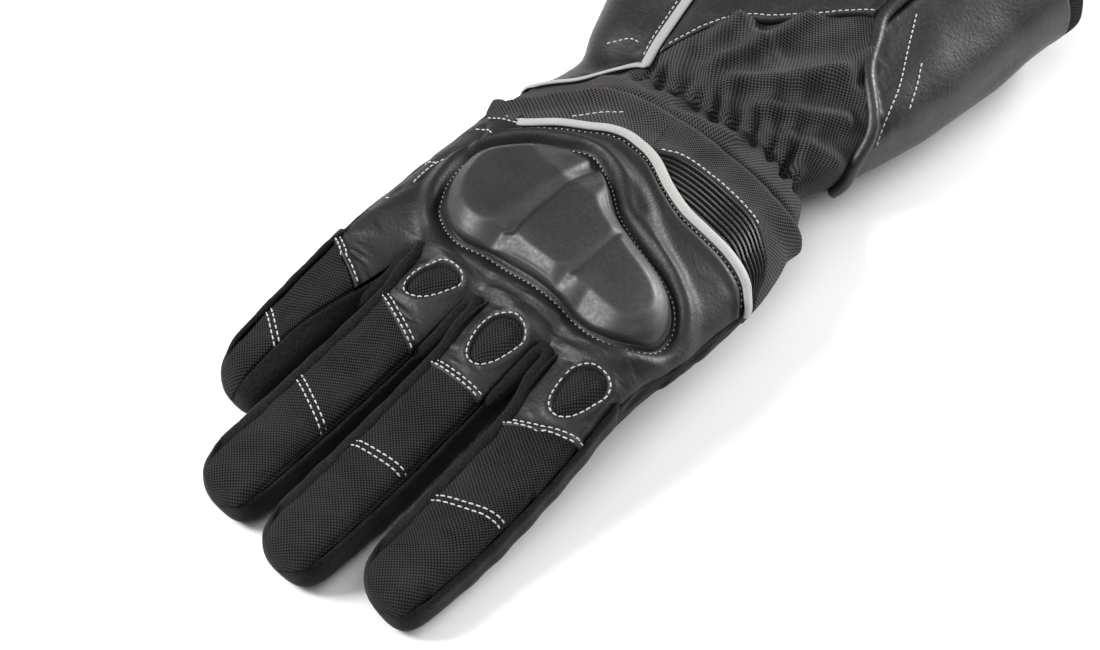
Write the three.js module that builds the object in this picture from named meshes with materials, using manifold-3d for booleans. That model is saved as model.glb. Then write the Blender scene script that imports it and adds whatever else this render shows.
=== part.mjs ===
// A right-hand winter riding glove, lying palm down with its fingers straight and its thumb folded under the palm.
// Millimetres. +Z is up, the fingers point to -Y and the forearm enters from +Y; +X is the index finger's side.
// The hand with its cuff, the four fingers and the thumb are lofts of superellipse sections square to Y. Their sizes
// come from the short tables below. Panels are cut out of the lofts along seam lines and thickened inwards.
import * as THREE from "three";
import { mergeVertices } from "three/addons/utils/BufferGeometryUtils.js";
import Module from "manifold-3d";

const wasm = await Module();
wasm.setup();

// Driving dimensions
const WALL = 1.8; // cloth or leather with its lining
const SEAM_GAP = 0.35; // clear space between two pieces that are sewn together
const FRAME_SHIFT = { x: 27.5, y: -55.5 }; // brings the middle of the outline over the origin
const HAND_SQUARENESS = 2.5;
const FINGER_SQUARENESS = 2.6;
const BACK_SEAM_DEG = 28; // where a finger's back panel meets its side strip, above the finger's middle
const PINKY_SEAM_DEG = 152; // the same seam carried along the little finger's side of the hand
const TIP_LENGTH = 13; // the stretch over which a fingertip rounds off
const TIP_SQUARENESS = 2.5;
const FINGER_ROOT_Y = 3; // where the finger tubes end inside the hand
const WRIST_SEAM_Y = 81; // where the hand's band overlaps the gathered wrist
const CUFF_END_Y = 208;
const HEM_DEPTH = 7;

// The hand and cuff, from the finger roots to the hem: the two sides in plan, the height of the widest line,
// the rise above it and drop below it, and how far the palm arches up between its edges.
const HAND_SECTIONS = [
  { y: -14, pinky_x: -72.5, index_x: 30.5, middle_z: 18.5, rise: 12, drop: 8, arch: 2 },
  { y: 10, pinky_x: -72.8, index_x: 32, middle_z: 18.5, rise: 16.5, drop: 9.5, arch: 5 },
  { y: 30, pinky_x: -72.8, index_x: 33, middle_z: 18, rise: 18, drop: 9.5, arch: 6.5 },
  { y: 50, pinky_x: -72, index_x: 32.5, middle_z: 18, rise: 18, drop: 10, arch: 6.5 },
  { y: 65, pinky_x: -71, index_x: 29.5, middle_z: 17.5, rise: 17, drop: 11, arch: 5 },
  { y: 80, pinky_x: -70, index_x: 24, middle_z: 17.5, rise: 15.5, drop: 12, arch: 2.5 },
  { y: 95, pinky_x: -69.5, index_x: 17.5, middle_z: 17.5, rise: 13, drop: 14, arch: 0 },
  { y: 108, pinky_x: -72, index_x: 19, middle_z: 17.5, rise: 15.5, drop: 17.2, arch: 0 },
  { y: 125, pinky_x: -76.5, index_x: 24, middle_z: 18, rise: 19.5, drop: 19.3, arch: 0 },
  { y: 150, pinky_x: -81.5, index_x: 28, middle_z: 19, rise: 21.5, drop: 20.8, arch: 0 },
  { y: 209, pinky_x: -90.5, index_x: 35.5, middle_z: 21, rise: 24, drop: 23, arch: 0 },
];

// The fingers and thumb, from root to tip: middle line in plan, half width, underside and top.
const FINGERS = {
  pinky: [
    { y: 16, x: -60.5, half_width: 12.4, underside: 9, top: 30.5 },
    { y: 2, x: -61, half_width: 12.2, underside: 9, top: 28.5 },
    { y: -30, x: -64.5, half_width: 11.6, underside: 3, top: 20.5 },
    { y: -61, x: -65, half_width: 10.8, underside: -0.8, top: 15 },
  ],
  ring: [
    { y: 16, x: -34.8, half_width: 12.7, underside: 14, top: 34.5 },
    { y: -3, x: -35.2, half_width: 12.4, underside: 13, top: 31.5 },
    { y: -30, x: -38, half_width: 12.2, underside: 6, top: 23.5 },
    { y: -60, x: -40.4, half_width: 12, underside: -0.8, top: 17.5 },
    { y: -91, x: -41, half_width: 11.6, underside: -0.8, top: 15.5 },
  ],
  middle: [
    { y: 16, x: -9, half_width: 12.7, underside: 15, top: 35.5 },
    { y: -4, x: -9.3, half_width: 12.4, underside: 14.5, top: 32.5 },
    { y: -30, x: -11.3, half_width: 12.2, underside: 7, top: 24.5 },
    { y: -60, x: -13, half_width: 12.1, underside: -0.8, top: 18 },
    { y: -97, x: -13.2, half_width: 11.4, underside: -0.8, top: 15.5 },
  ],
  index: [
    { y: 16, x: 17.6, half_width: 13.2, underside: 14, top: 33.5 },
    { y: -4, x: 17.4, half_width: 12.8, underside: 13, top: 31 },
    { y: -30, x: 16.6, half_width: 12.3, underside: 6, top: 24 },
    { y: -60, x: 15.4, half_width: 12.2, underside: -0.8, top: 18 },
    { y: -90, x: 15.2, half_width: 11.4, underside: -0.8, top: 15.5 },
  ],
  thumb: [
    { y: 64, x: 6, half_width: 11.5, underside: 4, top: 20 },
    { y: 50, x: 9, half_width: 12.2, underside: -0.8, top: 13.5 },
    { y: 30, x: 5.5, half_width: 12.3, underside: -0.8, top: 11.5 },
    { y: 8, x: -1, half_width: 11.8, underside: -0.8, top: 11.2 },
    { y: -14, x: -8, half_width: 10.5, underside: -0.8, top: 10.8 },
  ],
};
const HAND_FINGERS = ["pinky", "ring", "middle", "index"];

// The forks between neighbouring fingers, seen from above, and the seams that end the leather on each finger.
const FORKS = [
  { x: -48.2, y: 2 },
  { x: -22.4, y: -4 },
  { x: 4.2, y: -5 },
];
const FORK_RADIUS = 2.6;
const TONGUES = {
  pinky: { end_y: -13.5, slant: -0.3 },
  ring: { end_y: -22.5, slant: -0.3 },
  middle: { end_y: -27.5, slant: 0 },
  index: { end_y: -25, slant: 0.3 },
};
const LOBE_FADE = 30; // how far behind the forks the fingers' ridges melt into the back of the hand

// Angles round the hand's section: 0 at the index side, 90 on top, 180 at the little finger's side.
const INDEX_SEAM = [
  { y: -24, angle: 28 },
  { y: 0, angle: 12 },
  { y: 30, angle: -4 },
  { y: 60, angle: -6 },
];
// The grey piping that ends the back leather, and the far edge of the ribbed stretch panel behind it
const PIPING_LINE = [
  { angle: -210, y: 57 },
  { angle: -90, y: 55 },
  { angle: -30, y: 52 },
  { angle: 10, y: 52 },
  { angle: 48, y: 53.5 },
  { angle: 67, y: 55 },
  { angle: 79, y: 59 },
  { angle: 91, y: 63.2 },
  { angle: 102, y: 64.5 },
  { angle: 120, y: 60.5 },
  { angle: 136, y: 55.5 },
  { angle: 152, y: 53 },
];
const RIB_LINE = [
  { angle: -210, y: 72 },
  { angle: -90, y: 70 },
  { angle: -30, y: 58 },
  { angle: 0, y: 61 },
  { angle: 30, y: 66.5 },
  { angle: 50, y: 67.8 },
  { angle: 70, y: 69.3 },
  { angle: 82, y: 68.6 },
  { angle: 91, y: 67.2 },
  { angle: 152, y: 68 },
];
const PIPING_WIDTH = 2.8;
const PIPING_HEIGHT = 1.1;

// Front edges of the leather on the cuff: the little finger's side panel, and the two panels on top
const SIDE_CUFF_LINE = [
  { angle: -210, y: 85.5 },
  { angle: -180, y: 83.5 },
  { angle: -100, y: 88 },
  { angle: 100, y: 90 },
  { angle: 113, y: 94 },
  { angle: 152, y: 85.5 },
];
const TOP_CUFF_LINE = [
  { angle: -210, y: 100 },
  { angle: -90, y: 104 },
  { angle: -30, y: 107 },
  { angle: 0, y: 111 },
  { angle: 20, y: 119 },
  { angle: 50, y: 132 },
  { angle: 64, y: 148 },
  { angle: 78, y: 138 },
  { angle: 95, y: 120 },
  { angle: 111, y: 100 },
  { angle: 152, y: 100 },
];
const CUFF_FORK_ANGLES = [111, 91, 64]; // where the lines of the three forks run on along the cuff

// The moulded knuckle guard, seen from above, and the inner corners of its three lobes
const GUARD_OUTLINE = [
  { x: -49, y: 9 },
  { x: -54, y: 23 },
  { x: -52.5, y: 37 },
  { x: -45, y: 46 },
  { x: -35, y: 51 },
  { x: -26, y: 52.5 },
  { x: -17, y: 48 },
  { x: -9, y: 41 },
  { x: 3, y: 36 },
  { x: 14.5, y: 32 },
  { x: 24, y: 27 },
  { x: 27.5, y: 17 },
  { x: 22.5, y: 8 },
  { x: 9, y: 4 },
  { x: -3, y: 4.5 },
  { x: -14, y: 5.5 },
  { x: -31, y: 3 },
  { x: -42, y: 5 },
];
const GUARD_CENTRE = { x: -17, y: 24 };
const GUARD_THICKNESS = 4.2;
const GUARD_BEVEL = 9;

const TEARDROPS = {
  ring: { x: -35, y: -8.5, length: 15, width: 11.5, turn: 8 },
  middle: { x: -8.5, y: -12.5, length: 17, width: 11.5, turn: 5 },
  index: { x: 19, y: -13.5, length: 18, width: 12.5, turn: 0 },
};

// A function that passes smoothly through one column of a table, read by another column.
function track(rows, key, column) {
  const at = rows.map((r) => r[key]);
  const value = rows.map((r) => r[column]);
  const up = at[1] > at[0] ? 1 : -1;
  const slope = at.map((_, i) => {
    const a = Math.max(0, i - 1);
    const b = Math.min(at.length - 1, i + 1);
    return (value[b] - value[a]) / (at[b] - at[a]);
  });
  return (t) => {
    let i = 0;
    while (i < at.length - 2 && (t - at[i + 1]) * up > 0) i += 1;
    const step = at[i + 1] - at[i];
    const s = Math.min(1, Math.max(0, (t - at[i]) / step));
    const s2 = s * s;
    const s3 = s2 * s;
    const ends = (2 * s3 - 3 * s2 + 1) * value[i] + (3 * s2 - 2 * s3) * value[i + 1];
    return ends + (s3 - 2 * s2 + s) * step * slope[i] + (s3 - s2) * step * slope[i + 1];
  };
}

function tracks(rows, key) {
  const made = {};
  for (const column of Object.keys(rows[0])) if (column !== key) made[column] = track(rows, key, column);
  return made;
}

const mix = (a, b, t) => a + (b - a) * t;
const clamp01 = (t) => Math.min(1, Math.max(0, t));
const smooth = (t) => clamp01(t) ** 2 * (3 - 2 * clamp01(t));
const power = (value, exponent) => Math.sign(value) * Math.abs(value) ** exponent;
const radians = (degrees) => (degrees * Math.PI) / 180;
const spread = (from, to, count) => Array.from({ length: count + 1 }, (_, i) => mix(from, to, i / count));

// A point of the unit superellipse at an angle
function unitSection(angle, squareness) {
  const a = radians(angle);
  return { x: power(Math.cos(a), 2 / squareness), z: power(Math.sin(a), 2 / squareness) };
}

// Soft folds: pleats that run out of the gathered wrist, and broad waves along the cuff
const GATHER_Y = 95;
const PLEATS = 13;
function cuffRelief(y, angle) {
  const pull = Math.exp(-(((y - GATHER_Y) / 7) ** 2)) * smooth((y - WRIST_SEAM_Y) / 5);
  const fan = Math.exp(-(((y - GATHER_Y - 5) / 15) ** 2)) * smooth((y - WRIST_SEAM_Y) / 8);
  const pleat = Math.cos(radians(angle * PLEATS + 40 * Math.sin(radians(angle * 2))));
  const wave = Math.sin(radians(angle * 3 + y * 3.1)) * smooth((y - 105) / 25) * smooth((CUFF_END_Y - y) / 30);
  return -1.5 * pull + 1.4 * fan * pleat + 0.9 * wave;
}

const hand = tracks(HAND_SECTIONS, "y");
function handPoint(y, angle) {
  const left = hand.pinky_x(y);
  const right = hand.index_x(y);
  const unit = unitSection(angle, HAND_SQUARENESS);
  const relief = y > WRIST_SEAM_Y ? cuffRelief(y, angle) : 0;
  const height = unit.z > 0 ? hand.rise(y) : hand.drop(y);
  const arch = unit.z < 0 ? hand.arch(y) * (1 - unit.x * unit.x) : 0;
  const x = (left + right) / 2 + unit.x * ((right - left) / 2 + relief);
  return new THREE.Vector3(x, y, Math.max(0, hand.middle_z(y) + unit.z * (height + relief) + arch));
}

const fingerTracks = {};
for (const name of Object.keys(FINGERS)) fingerTracks[name] = tracks(FINGERS[name], "y");
const tipOf = (name) => FINGERS[name].at(-1).y;

function fingerPoint(name, y, angle) {
  const f = fingerTracks[name];
  const intoTip = clamp01((tipOf(name) + TIP_LENGTH - y) / TIP_LENGTH);
  const round = (1 - Math.min(intoTip, 0.998) ** TIP_SQUARENESS) ** (1 / TIP_SQUARENESS);
  const unit = unitSection(angle, FINGER_SQUARENESS);
  const low = f.underside(y);
  const high = f.top(y);
  const z = mix((low + high) / 2 - 1.5 * (1 - round), unit.z > 0 ? high : low, Math.abs(unit.z) * round);
  return new THREE.Vector3(f.x(y) + unit.x * f.half_width(y) * round, y, Math.max(0, z));
}

const indexSeam = track(INDEX_SEAM, "y", "angle");
const pipingLine = track(PIPING_LINE, "angle", "y");
const ribLine = track(RIB_LINE, "angle", "y");
const sideCuffLine = track(SIDE_CUFF_LINE, "angle", "y");
const topCuffLine = track(TOP_CUFF_LINE, "angle", "y");

// The angle round the hand's section that lies over a given x on its top
function topAngle(y, x) {
  const left = hand.pinky_x(y);
  const right = hand.index_x(y);
  const across = (x - (left + right) / 2) / ((right - left) / 2);
  return (Math.acos(power(across, HAND_SQUARENESS / 2)) * 180) / Math.PI;
}

// The back of the hand is four strips side by side, one behind each finger. Ahead of its forks a strip is the
// finger's own top; behind them it melts into the hand's section. c runs from -1 at its little-finger edge to 1.
const FADE_END_Y = 57;
function stripAngle(i, c, y) {
  const at = Math.min(y, FADE_END_Y);
  const edge = (fork, outer) => {
    if (!FORKS[fork]) return outer;
    return mix(topAngle(at, FORKS[fork].x), CUFF_FORK_ANGLES[fork], smooth((y - FADE_END_Y) / 40));
  };
  return mix(edge(i - 1, PINKY_SEAM_DEG), edge(i, indexSeam(y)), (c + 1) / 2);
}

function stripEdgeAngle(i, side, y) {
  const fork = side < 0 ? FORKS[i - 1] : FORKS[i];
  if (!fork) return side < 0 ? PINKY_SEAM_DEG : indexSeam(y);
  const opened = mix(BACK_SEAM_DEG, 36, smooth((y - fork.y + 12) / 10));
  return side < 0 ? 180 - opened : opened;
}

function backPoint(i, c, y) {
  const name = HAND_FINGERS[i];
  const onHand = handPoint(y, stripAngle(i, c, y));
  const blend = smooth((y + 6) / LOBE_FADE);
  if (blend === 1) return onHand;
  const angle = mix(stripEdgeAngle(i, -1, y), stripEdgeAngle(i, 1, y), (c + 1) / 2);
  const p = fingerPoint(name, y, angle);
  for (const side of [-1, 1]) {
    const fork = side < 0 ? FORKS[i - 1] : FORKS[i];
    const weight = Math.max(0, side * c);
    if (!fork || weight === 0) continue;
    const past = y - fork.y + FORK_RADIUS;
    if (past < 0) continue;
    const own = fingerPoint(name, y, stripEdgeAngle(i, side, y));
    const other = fingerPoint(HAND_FINGERS[i + side], y, 180 - stripEdgeAngle(i, side, y));
    const reach = side * (fork.x - own.x);
    const opening = Math.sqrt(Math.max(0, FORK_RADIUS ** 2 - past ** 2));
    const left = past >= FORK_RADIUS ? 0 : Math.min(Math.max(0, reach), opening);
    p.x += side * (reach - left) * weight ** 2;
    p.z += ((other.z - own.z) / 2) * smooth(past / FORK_RADIUS) * weight ** 3;
    const joined = (1 - left / Math.max(0.1, reach)) * smooth(past / FORK_RADIUS);
    const handEdge = handPoint(y, stripAngle(i, c, y));
    p.z = mix(p.z, handEdge.z, 0.15 * joined * weight ** 2);
  }
  return p.lerp(onHand, blend);
}

// The sides and underside of the hand: t runs from 0 at the index seam, under the palm, to 1 at the little finger.
const UNDER_END_DEG = PINKY_SEAM_DEG - 360;
const underAngle = (y, t) => mix(indexSeam(y), UNDER_END_DEG, t);
function underPoint(t, y) {
  const angle = underAngle(y, t);
  const onHand = handPoint(y, angle);
  const ahead = 1 - smooth((y + 6) / LOBE_FADE);
  if (ahead === 0) return onHand;
  const p = onHand.clone();
  const toIndex = fingerPoint("index", y, angle).sub(onHand);
  const toPinky = fingerPoint("pinky", y, angle).sub(onHand);
  p.addScaledVector(toIndex, ahead * (1 - smooth(t / 0.22)));
  return p.addScaledVector(toPinky, ahead * (1 - smooth((1 - t) / 0.22)));
}

// A shell is made from four-sided cells that carry the name of their panel; cells named null are only seams. Corners
// that coincide are one corner, whose normal is taken from every cell round it, so panels stay clear of each other.
class Cells {
  constructor() {
    this.corners = [];
    this.lookup = new Map();
    this.cells = [];
  }
  corner(p) {
    const key = [p.x, p.y, p.z].map((v) => Math.round(v * 500)).join();
    if (!this.lookup.has(key)) {
      this.lookup.set(key, this.corners.length);
      this.corners.push(p.clone());
    }
    return this.lookup.get(key);
  }
  // Corners go anticlockwise as seen from outside the glove.
  cell(name, points) {
    const ids = points.map((p) => this.corner(p)).filter((id, i, all) => all.indexOf(id) === i);
    if (ids.length > 2) this.cells.push({ name, ids });
  }
  normals() {
    const sum = this.corners.map(() => new THREE.Vector3());
    for (const { ids } of this.cells)
      for (let k = 0; k < ids.length; k += 1) {
        const here = this.corners[ids[k]];
        const next = this.corners[ids[(k + 1) % ids.length]].clone().sub(here);
        const last = this.corners[ids[(k + ids.length - 1) % ids.length]].clone().sub(here);
        const turn = next.clone().cross(last);
        const size = turn.length();
        if (size > 1e-9) sum[ids[k]].addScaledVector(turn, next.angleTo(last) / size);
      }
    // Both sides of a seam take one normal, so that its walls run parallel.
    const group = sum.map((_, id) => id);
    const root = (id) => (group[id] === id ? id : root(group[id]));
    for (const { name, ids } of this.cells)
      for (let k = 0; name === null && k < ids.length; k += 1) {
        const a = ids[k];
        const b = ids[(k + 1) % ids.length];
        if (this.corners[a].distanceTo(this.corners[b]) < 2.2 * SEAM_GAP) group[root(a)] = root(b);
      }
    const shared = sum.map(() => new THREE.Vector3());
    sum.forEach((n, id) => shared[root(id)].add(n));
    return sum.map((_, id) => shared[root(id)].clone().normalize());
  }
  // The closed body of one panel, from `out` outside the surface to `wall` inside it
  panel(name, wall = WALL, out = 0) {
    const normals = this.normals();
    const used = new Map();
    const positions = [];
    const faces = [];
    const own = this.cells.filter((cell) => cell.name === name);
    for (const id of own.flatMap((cell) => cell.ids)) {
      if (used.has(id)) continue;
      used.set(id, used.size);
      positions.push(this.corners[id].clone().addScaledVector(normals[id], out));
      positions.push(this.corners[id].clone().addScaledVector(normals[id], -wall));
    }
    const edges = new Map();
    for (const { ids } of own) {
      const at = ids.map((id) => used.get(id) * 2);
      for (let k = 1; k < at.length - 1; k += 1) {
        faces.push(at[0], at[k], at[k + 1]);
        faces.push(at[0] + 1, at[k + 1] + 1, at[k] + 1);
      }
      for (let k = 0; k < at.length; k += 1) {
        const a = at[k];
        const b = at[(k + 1) % at.length];
        if (edges.has(`${b},${a}`)) edges.delete(`${b},${a}`);
        else edges.set(`${a},${b}`, [a, b]);
      }
    }
    for (const [a, b] of edges.values()) faces.push(b, a, a + 1, b, a + 1, b + 1);
    return bodyOf(positions, faces);
  }
}

function bodyOf(points, faces) {
  const geometry = new THREE.BufferGeometry();
  geometry.setAttribute("position", new THREE.Float32BufferAttribute(points.flatMap((p) => [...p]), 3));
  geometry.setIndex(faces);
  return geometry;
}

// Between three.js geometry and manifold solids
function solid(geometry) {
  return new wasm.Manifold(
    new wasm.Mesh({
      numProp: 3,
      vertProperties: new Float32Array(geometry.attributes.position.array),
      triVerts: new Uint32Array(geometry.index.array),
    }),
  );
}

function geometryOf(manifold) {
  const mesh = manifold.getMesh();
  const geometry = new THREE.BufferGeometry();
  geometry.setAttribute("position", new THREE.BufferAttribute(new Float32Array(mesh.vertProperties), 3));
  geometry.setIndex(new THREE.BufferAttribute(new Uint32Array(mesh.triVerts), 1));
  return geometry;
}

// The largest body of a solid, where a cut may leave crumbs
function mainBody(manifold) {
  return manifold.decompose().reduce((a, b) => (a.volume() > b.volume() ? a : b));
}

const glove = new THREE.Group();
glove.position.set(FRAME_SHIFT.x, FRAME_SHIFT.y, 0);

const MATERIALS = {
  leather: { color: 0x2b2a2b, roughness: 0.45 },
  moulded: { color: 0x323133, roughness: 0.35 },
  softshell: { color: 0x2f2f31, roughness: 0.85 },
  knit: { color: 0x161618, roughness: 0.95 },
  reflective: { color: 0xb9b7b2, roughness: 0.5 },
  rubber: { color: 0x3a3a3c, roughness: 0.5 },
};

function add(name, material, geometry) {
  const mesh = new THREE.Mesh(geometry, new THREE.MeshStandardMaterial({ ...MATERIALS[material], metalness: 0 }));
  mesh.name = name;
  glove.add(mesh);
}

const thinAngle = (mm, radius) => (mm / radius) * (180 / Math.PI);

// The fingers: one closed-ended tube each, whose top is a separate back panel
const fingerBodies = {};
const LID_COLUMNS = 5;
const SIDE_COLUMNS = 10;
for (const name of HAND_FINGERS) {
  const i = HAND_FINGERS.indexOf(name);
  const tip = tipOf(name);
  const tongue = TONGUES[name];
  const lidEnd = tip + 3.2;
  const rows = [
    ...spread(FINGER_ROOT_Y, tongue.end_y + SEAM_GAP / 2, 4),
    ...spread(tongue.end_y - SEAM_GAP / 2, tip + TIP_LENGTH, 3),
    tip + 8,
    tip + 5,
    lidEnd,
    lidEnd - SEAM_GAP,
    tip + 1,
    tip,
  ];
  const lidStart = 5;
  const lidLast = rows.indexOf(lidEnd);
  const edgeAngle = (side, y) => {
    const fork = side < 0 ? FORKS[i - 1] : FORKS[i];
    if (!fork) return side < 0 ? PINKY_SEAM_DEG : Math.min(BACK_SEAM_DEG, indexSeam(y));
    const dropped = BACK_SEAM_DEG - 21 * smooth((y - fork.y + 4) / 3);
    return side < 0 ? 180 - dropped : dropped;
  };
  const thin = thinAngle(SEAM_GAP, 6.5);
  const columnsAt = (y) => {
    const right = edgeAngle(1, y);
    const left = edgeAngle(-1, y);
    return [...spread(right, left, LID_COLUMNS), ...spread(left + thin, right - thin + 360, SIDE_COLUMNS), right + 360];
  };
  const shear = (y, angle) => {
    const across = unitSection(angle, FINGER_SQUARENESS).x * 12;
    const near = smooth((FINGER_ROOT_Y - y) / 10) * smooth((y - tip - TIP_LENGTH) / 20);
    return y + tongue.slant * across * near;
  };
  const body = new Cells();
  const count = columnsAt(0).length - 1;
  const at = (r, k) => {
    const angle = columnsAt(rows[r])[k];
    return fingerPoint(name, shear(rows[r], angle), angle);
  };
  for (let r = 0; r < rows.length - 1; r += 1)
    for (let k = 0; k < count; k += 1) {
      const overLid = k < LID_COLUMNS;
      const besideLid = k === LID_COLUMNS || k === count - 1;
      let label = `${name}_side_strip`;
      if (overLid && r < lidLast) label = r >= lidStart ? `${name}_back_panel` : null;
      if (overLid && r === lidLast) label = null;
      if (besideLid && r <= lidLast) label = null;
      body.cell(label, [at(r, k), at(r, k + 1), at(r + 1, k + 1), at(r + 1, k)]);
    }
  const last = rows.length - 1;
  const hub = new THREE.Vector3();
  for (let k = 0; k < count; k += 1) hub.addScaledVector(at(last, k), 1 / count);
  for (let k = 0; k < count; k += 1) body.cell(`${name}_side_strip`, [at(last, k), at(last, k + 1), hub]);
  fingerBodies[name] = body;
}

// The hand and cuff: edges of the columns, in order of growing angle, each column with the name of its zone
const GUSSET_END = 0.165;
const SIDE_LEATHER_START = 0.78;
const STRIP_CELLS = 4;
const THIN_UNDER = SEAM_GAP / 110;
const THIN_STRIP = (2 * SEAM_GAP) / 25;
const edges = [];
const zones = [];
function columns(zone, kind, list) {
  for (const value of list) {
    if (edges.length > 0) zones.push(zone);
    edges.push({ kind, ...value });
  }
}
const under = (from, to, count) => spread(from, to, count).map((t) => ({ t }));
const strip = (i, from, to, count) => spread(from, to, count).map((c) => ({ i, c }));
columns("side_leather", "under", under(1 - THIN_UNDER, SIDE_LEATHER_START, 4));
columns("thin", "under", [{ t: SIDE_LEATHER_START - THIN_UNDER }]);
columns("palm", "under", under(SIDE_LEATHER_START - THIN_UNDER, GUSSET_END + THIN_UNDER, 8).slice(1));
columns("thin", "under", [{ t: GUSSET_END }]);
columns("gusset", "under", under(GUSSET_END, THIN_UNDER * 1.2, 3).slice(1));
columns("thin", "strip", [{ i: 3, c: 1 }]);
columns("index_strip", "strip", strip(3, 1, -1, STRIP_CELLS).slice(1));
columns("thin", "strip", [{ i: 2, c: 1 - THIN_STRIP }]);
columns("middle_strip", "strip", strip(2, 1 - THIN_STRIP, -1 + THIN_STRIP, STRIP_CELLS).slice(1));
columns("thin", "strip", [{ i: 2, c: -1 }]);
columns("ring_strip_a", "strip", strip(1, 1, 0.55, 1).slice(1));
columns("thin", "strip", [{ i: 1, c: 0.55 - THIN_STRIP }]);
columns("ring_strip_b", "strip", strip(1, 0.55 - THIN_STRIP, -1 + THIN_STRIP, 3).slice(1));
columns("thin", "strip", [{ i: 1, c: -1 }]);
columns("pinky_strip", "strip", strip(0, 1, -1, STRIP_CELLS).slice(1));
zones.push("thin");

const isStripZone = (zone) => zone.includes("strip");
const RIB_ZONES = ["gusset", "index_strip", "middle_strip"];

function edgePoint(edge, y) {
  return edge.kind === "strip" ? backPoint(edge.i, edge.c, y) : underPoint(edge.t, y);
}
const edgeAngleAt = (edge) =>
  edge.kind === "strip" ? stripAngle(edge.i, edge.c, 80) : underAngle(80, edge.t);

// The rows of the hand and cuff: a fixed y or a line, the band that starts there and how many rows it is cut into
const half = SEAM_GAP / 2;
const ROWS = [
  { band: "fork", y: () => -9, parts: 1 },
  { band: "fork", y: () => -7.6, parts: 1 },
  { band: "fork", y: () => -6.3, parts: 1 },
  { band: "fork", y: () => -5, parts: 1 },
  { band: "fork", y: () => -4, parts: 2 },
  { band: "fork", y: () => -0.6, parts: 1 },
  { band: "fork", y: () => 0.7, parts: 1 },
  { band: "fork", y: () => 2, parts: 1 },
  { band: "back", y: () => FINGER_ROOT_Y + SEAM_GAP, parts: 4 },
  { band: "back", y: () => 35, parts: 2 },
  { band: "thin", y: (a) => pipingLine(a) - half, parts: 1 },
  { band: "ribs", y: (a) => pipingLine(a) + half, parts: 2 },
  { band: "thin", y: (a) => ribLine(a) - half, parts: 1 },
  { band: "band", y: (a) => ribLine(a) + half, parts: 1 },
  { band: "thin", y: () => WRIST_SEAM_Y - half, parts: 1 },
  { band: "gather", y: () => WRIST_SEAM_Y + half, parts: 1 },
  { band: "thin", y: (a) => sideCuffLine(a) - half, parts: 1 },
  { band: "wrist", y: (a) => sideCuffLine(a) + half, parts: 2 },
  { band: "thin", y: (a) => topCuffLine(a) - half, parts: 1 },
  { band: "cuff", y: (a) => topCuffLine(a) + half, parts: 5 },
  { band: "thin", y: () => CUFF_END_Y - HEM_DEPTH - half, parts: 1 },
  { band: "hem", y: () => CUFF_END_Y - HEM_DEPTH + half, parts: 1 },
  { band: "end", y: () => CUFF_END_Y, parts: 0 },
];

function panelAt(band, zone) {
  if (band === "fork" || band === "back") {
    if (isStripZone(zone)) return "back_leather";
    if (band === "fork") return null;
    if (zone === "side_leather") return "pinky_side_leather";
    return zone === "palm" ? "palm_leather" : "index_side_gusset";
  }
  if (band === "ribs" && RIB_ZONES.includes(zone)) return "ribbed_panel";
  if (band === "ribs" || band === "band") return "wrist_band";
  if (band === "hem") return "cuff_hem";
  if (zone === "palm") return band === "cuff" ? "cuff_palm" : "gathered_wrist";
  if (zone === "side_leather" || zone === "pinky_strip") return band === "gather" ? "gathered_wrist" : "cuff_side_leather";
  if (band !== "cuff") return "gathered_wrist";
  if (zone === "ring_strip_b") return "cuff_top_leather";
  if (zone === "gusset" || zone === "index_strip") return "cuff_index_leather";
  return "gathered_wrist";
}

const rowList = [];
const bandList = [];
ROWS.forEach((row, r) => {
  for (let s = 0; s < row.parts; s += 1) {
    rowList.push((a) => mix(row.y(a), ROWS[r + 1].y(a), s / row.parts));
    bandList.push(row.band);
  }
});
rowList.push(ROWS.at(-1).y);

const handBody = new Cells();
const columnAngles = edges.map(edgeAngleAt);
const handCorner = (r, k) => edgePoint(edges[k], rowList[r](columnAngles[k]));
const zoneCount = zones.length;
const namesOf = (list, index, step) => list[(index + step + list.length) % list.length];
for (let r = 0; r < bandList.length; r += 1)
  for (let k = 0; k < zoneCount; k += 1) {
    const bands = bandList[r] === "thin" ? [bandList[r - 1], bandList[r + 1]] : [bandList[r]];
    const beside = zones[k] === "thin" ? [namesOf(zones, k, -1), namesOf(zones, k, 1)] : [zones[k]];
    const names = bands.flatMap((band) => beside.map((zone) => panelAt(band, zone)));
    const label = names.every((n) => n === names[0]) ? names[0] : null;
    const next = (k + 1) % edges.length;
    const rowY = rowList[r](columnAngles[k]);
    if (bandList[r] === "fork" && edges[k].kind === "under" && zones[k] !== "thin") continue;
    const points = [handCorner(r, k), handCorner(r + 1, k), handCorner(r + 1, next), handCorner(r, next)];
    if (rowY < FINGER_ROOT_Y && edges[k].kind !== edges[next].kind) handBody.cell(null, points);
    else handBody.cell(label, points);
  }

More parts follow.
